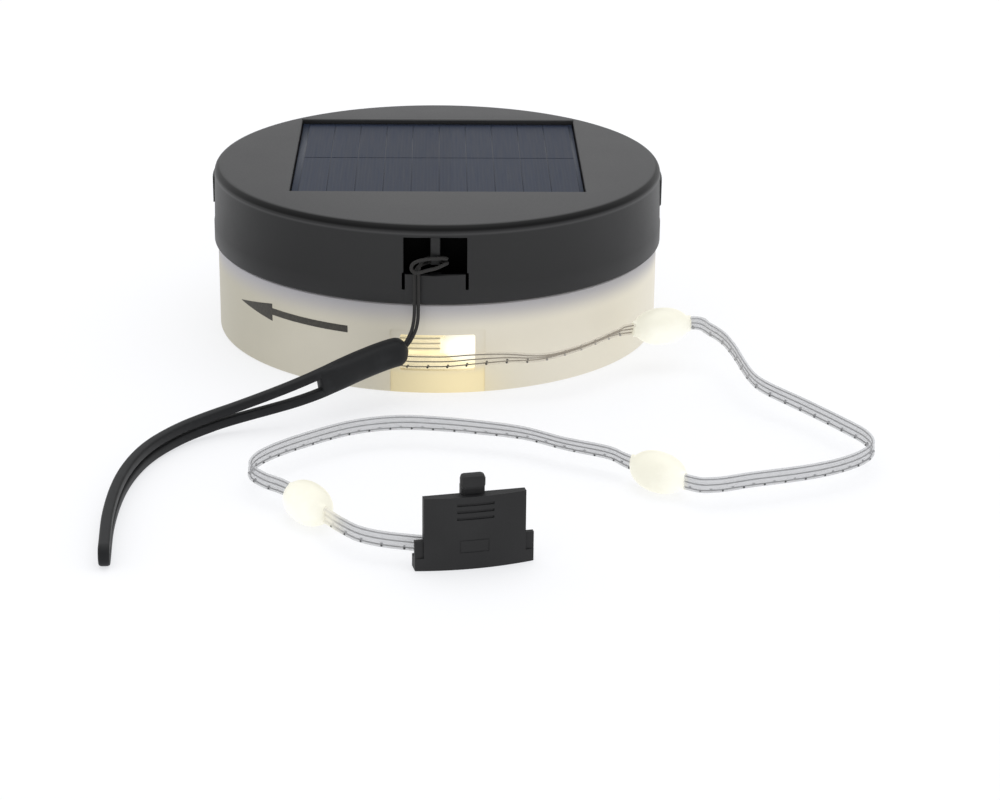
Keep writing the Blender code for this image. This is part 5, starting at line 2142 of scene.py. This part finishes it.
    def pads(self) -> None:
        """Mode button, port cover and the charge light's lens."""
        half, inside = self.button_half, self.button_inside
        rim = half + 1.5 * MM
        button = Solid.box((-self.pad_radius - MM, -half, self.pad_low),
                           (inside, half, self.pad_high), 0.6 * MM, 4)
        button.trim(Solid.rod(self.pad_radius, *self.trim_span, sides=256))
        button.join(Solid.box((inside - 0.8 * MM, -rim, self.pad_low - 1.5 * MM),
                              (inside, rim, self.pad_high - MM)))
        button.round_edges(self.edge, 3, 60.0)
        settle_on(piece("button_pad", button.mesh(), LID_BLACK), Body.BUTTON, Slot.RUBBER,
                  "mode_button")
        cover = Solid.box((self.cover_inside, -self.cover_half, self.pad_low),
                          (self.pad_radius + MM, self.cover_half, self.pad_high))
        cover.trim(Solid.rod(self.pad_radius, *self.trim_span, sides=256))
        cover.round_edges(self.edge, 3, 40.0)
        settle_on(piece("cover_flap", cover.mesh(), LID_BLACK), Body.COVER, Slot.RUBBER,
                  "port_cover")
        radius, rise = self.lens_radius, self.lens_rise
        dome = [(0.0, self.pad_radius)]
        dome += [(radius * math.sin(a), self.pad_radius - rise + rise * math.cos(a))
                 for a in np.radians(np.arange(15, 91, 15))]
        dome += [(radius, self.lens_inside), (0.0, self.lens_inside)]
        bm = revolve(dome, 40)
        turn = (Matrix.Translation((0.0, 0.0, self.lens_height))
                @ Matrix.Rotation(math.pi / 2, 4, "Y"))
        bmesh.ops.transform(bm, matrix=turn, verts=bm.verts)
        settle_on(piece("lens_dome", settle(bm), LENS), Body.LID, Slot.LENS, "charge_lens")


@dataclass
class SolarPanel:
    """Laminated panel in the lid's recess: backing sheet and rows of cells."""

    half: Point = (38.2 * MM, 35.45 * MM)
    middle_y: float = 6.3 * MM
    low: float = 42.8 * MM
    face: float = 43.5 * MM
    columns: int = 10
    rows: int = 2
    pitch: float = 7.35 * MM
    cell_long: float = 33.6 * MM
    row_gap: float = 0.5 * MM
    line: float = 0.22 * MM
    shift: float = 0.35 * MM

    def build(self) -> None:
        """Make the backing and the cells."""
        half_x, half_y = self.half
        skin = 0.06 * MM
        sheet = Solid.box((-half_x, self.middle_y - half_y, self.low),
                          (half_x, self.middle_y + half_y, self.face - skin), 0.15 * MM, 2)
        backing = piece("panel_backing", sheet.mesh(), BACKING)
        settle_on(backing, Body.LID, Slot.CELL, "solar_panel")
        pattern = Pattern("cell_rows", {
            "Columns": self.columns, "Rows": self.rows, "Pitch": self.pitch,
            "Row pitch": self.cell_long + self.row_gap, "Cell long": self.cell_long,
            "Line": self.line, "Skin": skin})
        spread_x = pattern.math("MULTIPLY", pattern.size("Pitch"), pattern.math(
            "SUBTRACT", pattern.size("Columns"), 1.0))
        spread_y = pattern.math("MULTIPLY", pattern.size("Row pitch"), pattern.math(
            "SUBTRACT", pattern.size("Rows"), 1.0))
        grid = pattern.node("GeometryNodeMeshGrid", None, {
            "Size X": spread_x, "Size Y": spread_y, "Vertices X": pattern.size("Columns"),
            "Vertices Y": pattern.size("Rows")})
        size = pattern.node("ShaderNodeCombineXYZ", None, {
            "X": pattern.math("SUBTRACT", pattern.size("Pitch"), pattern.size("Line")),
            "Y": pattern.size("Cell long"), "Z": pattern.size("Skin")})
        cell = pattern.node("GeometryNodeMeshCube", None, {"Size": size.outputs[0]})
        copies = pattern.node("GeometryNodeInstanceOnPoints", None, {
            "Points": grid.outputs["Mesh"], "Instance": cell.outputs["Mesh"]})
        pattern.close(copies.outputs[0], CELLS)
        mesh = pattern.grow(bpy.data.meshes.new("cell_seed"))
        mesh.transform(Matrix.Translation((self.shift, self.middle_y,
                                           self.face - skin / 2)))
        settle_on(piece("panel_cells", mesh, CELLS), Body.LID, Slot.CELL)


# ------------------------------------------------------------ inner works


@dataclass
class InnerWorks:
    """Finishes of the CAD parts inside the drum, which keep their own shapes."""

    finishes: dict[str, Finish] = field(default_factory=lambda: {
        "spool": SPOOL, "chassis_plate": SIDE_BLACK, "tact_switch": SIDE_BLACK,
        "chassis_seal": SEAL_RUBBER, "felt_ring": FELT, "retaining_washer": STEEL,
        "centre_screw": STEEL, "usb_port": STEEL, "battery_cell": WRAP, "battery_pad": FOAM,
        "panel_adhesive": FOAM, "circuit_board": BOARD, "panel_lead": SEAL_RUBBER,
        "battery_lead": SEAL_RUBBER, "string_lead": SHEATH})

    def build(self) -> None:
        """Dress every CAD node that still shows."""
        for name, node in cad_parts.items():
            if node.hide_render:
                continue
            finish = self.finishes.get(name, STEEL)
            dress(node, finish)
            LOG.info("%s wears %s", name, finish.name)


def main() -> None:
    """Build the studio and every sub-assembly in order."""
    logging.basicConfig(level=logging.INFO, format="%(name)s: %(message)s")
    Studio().build()
    string = LightString()
    string.build(EndClip().build())
    Lanyard().build()
    WoundString().build(string.core, string.web)
    FrostedShell().build()
    LidHousing().build()
    SolarPanel().build()
    InnerWorks().build()


if __name__ == "__main__":
    main()
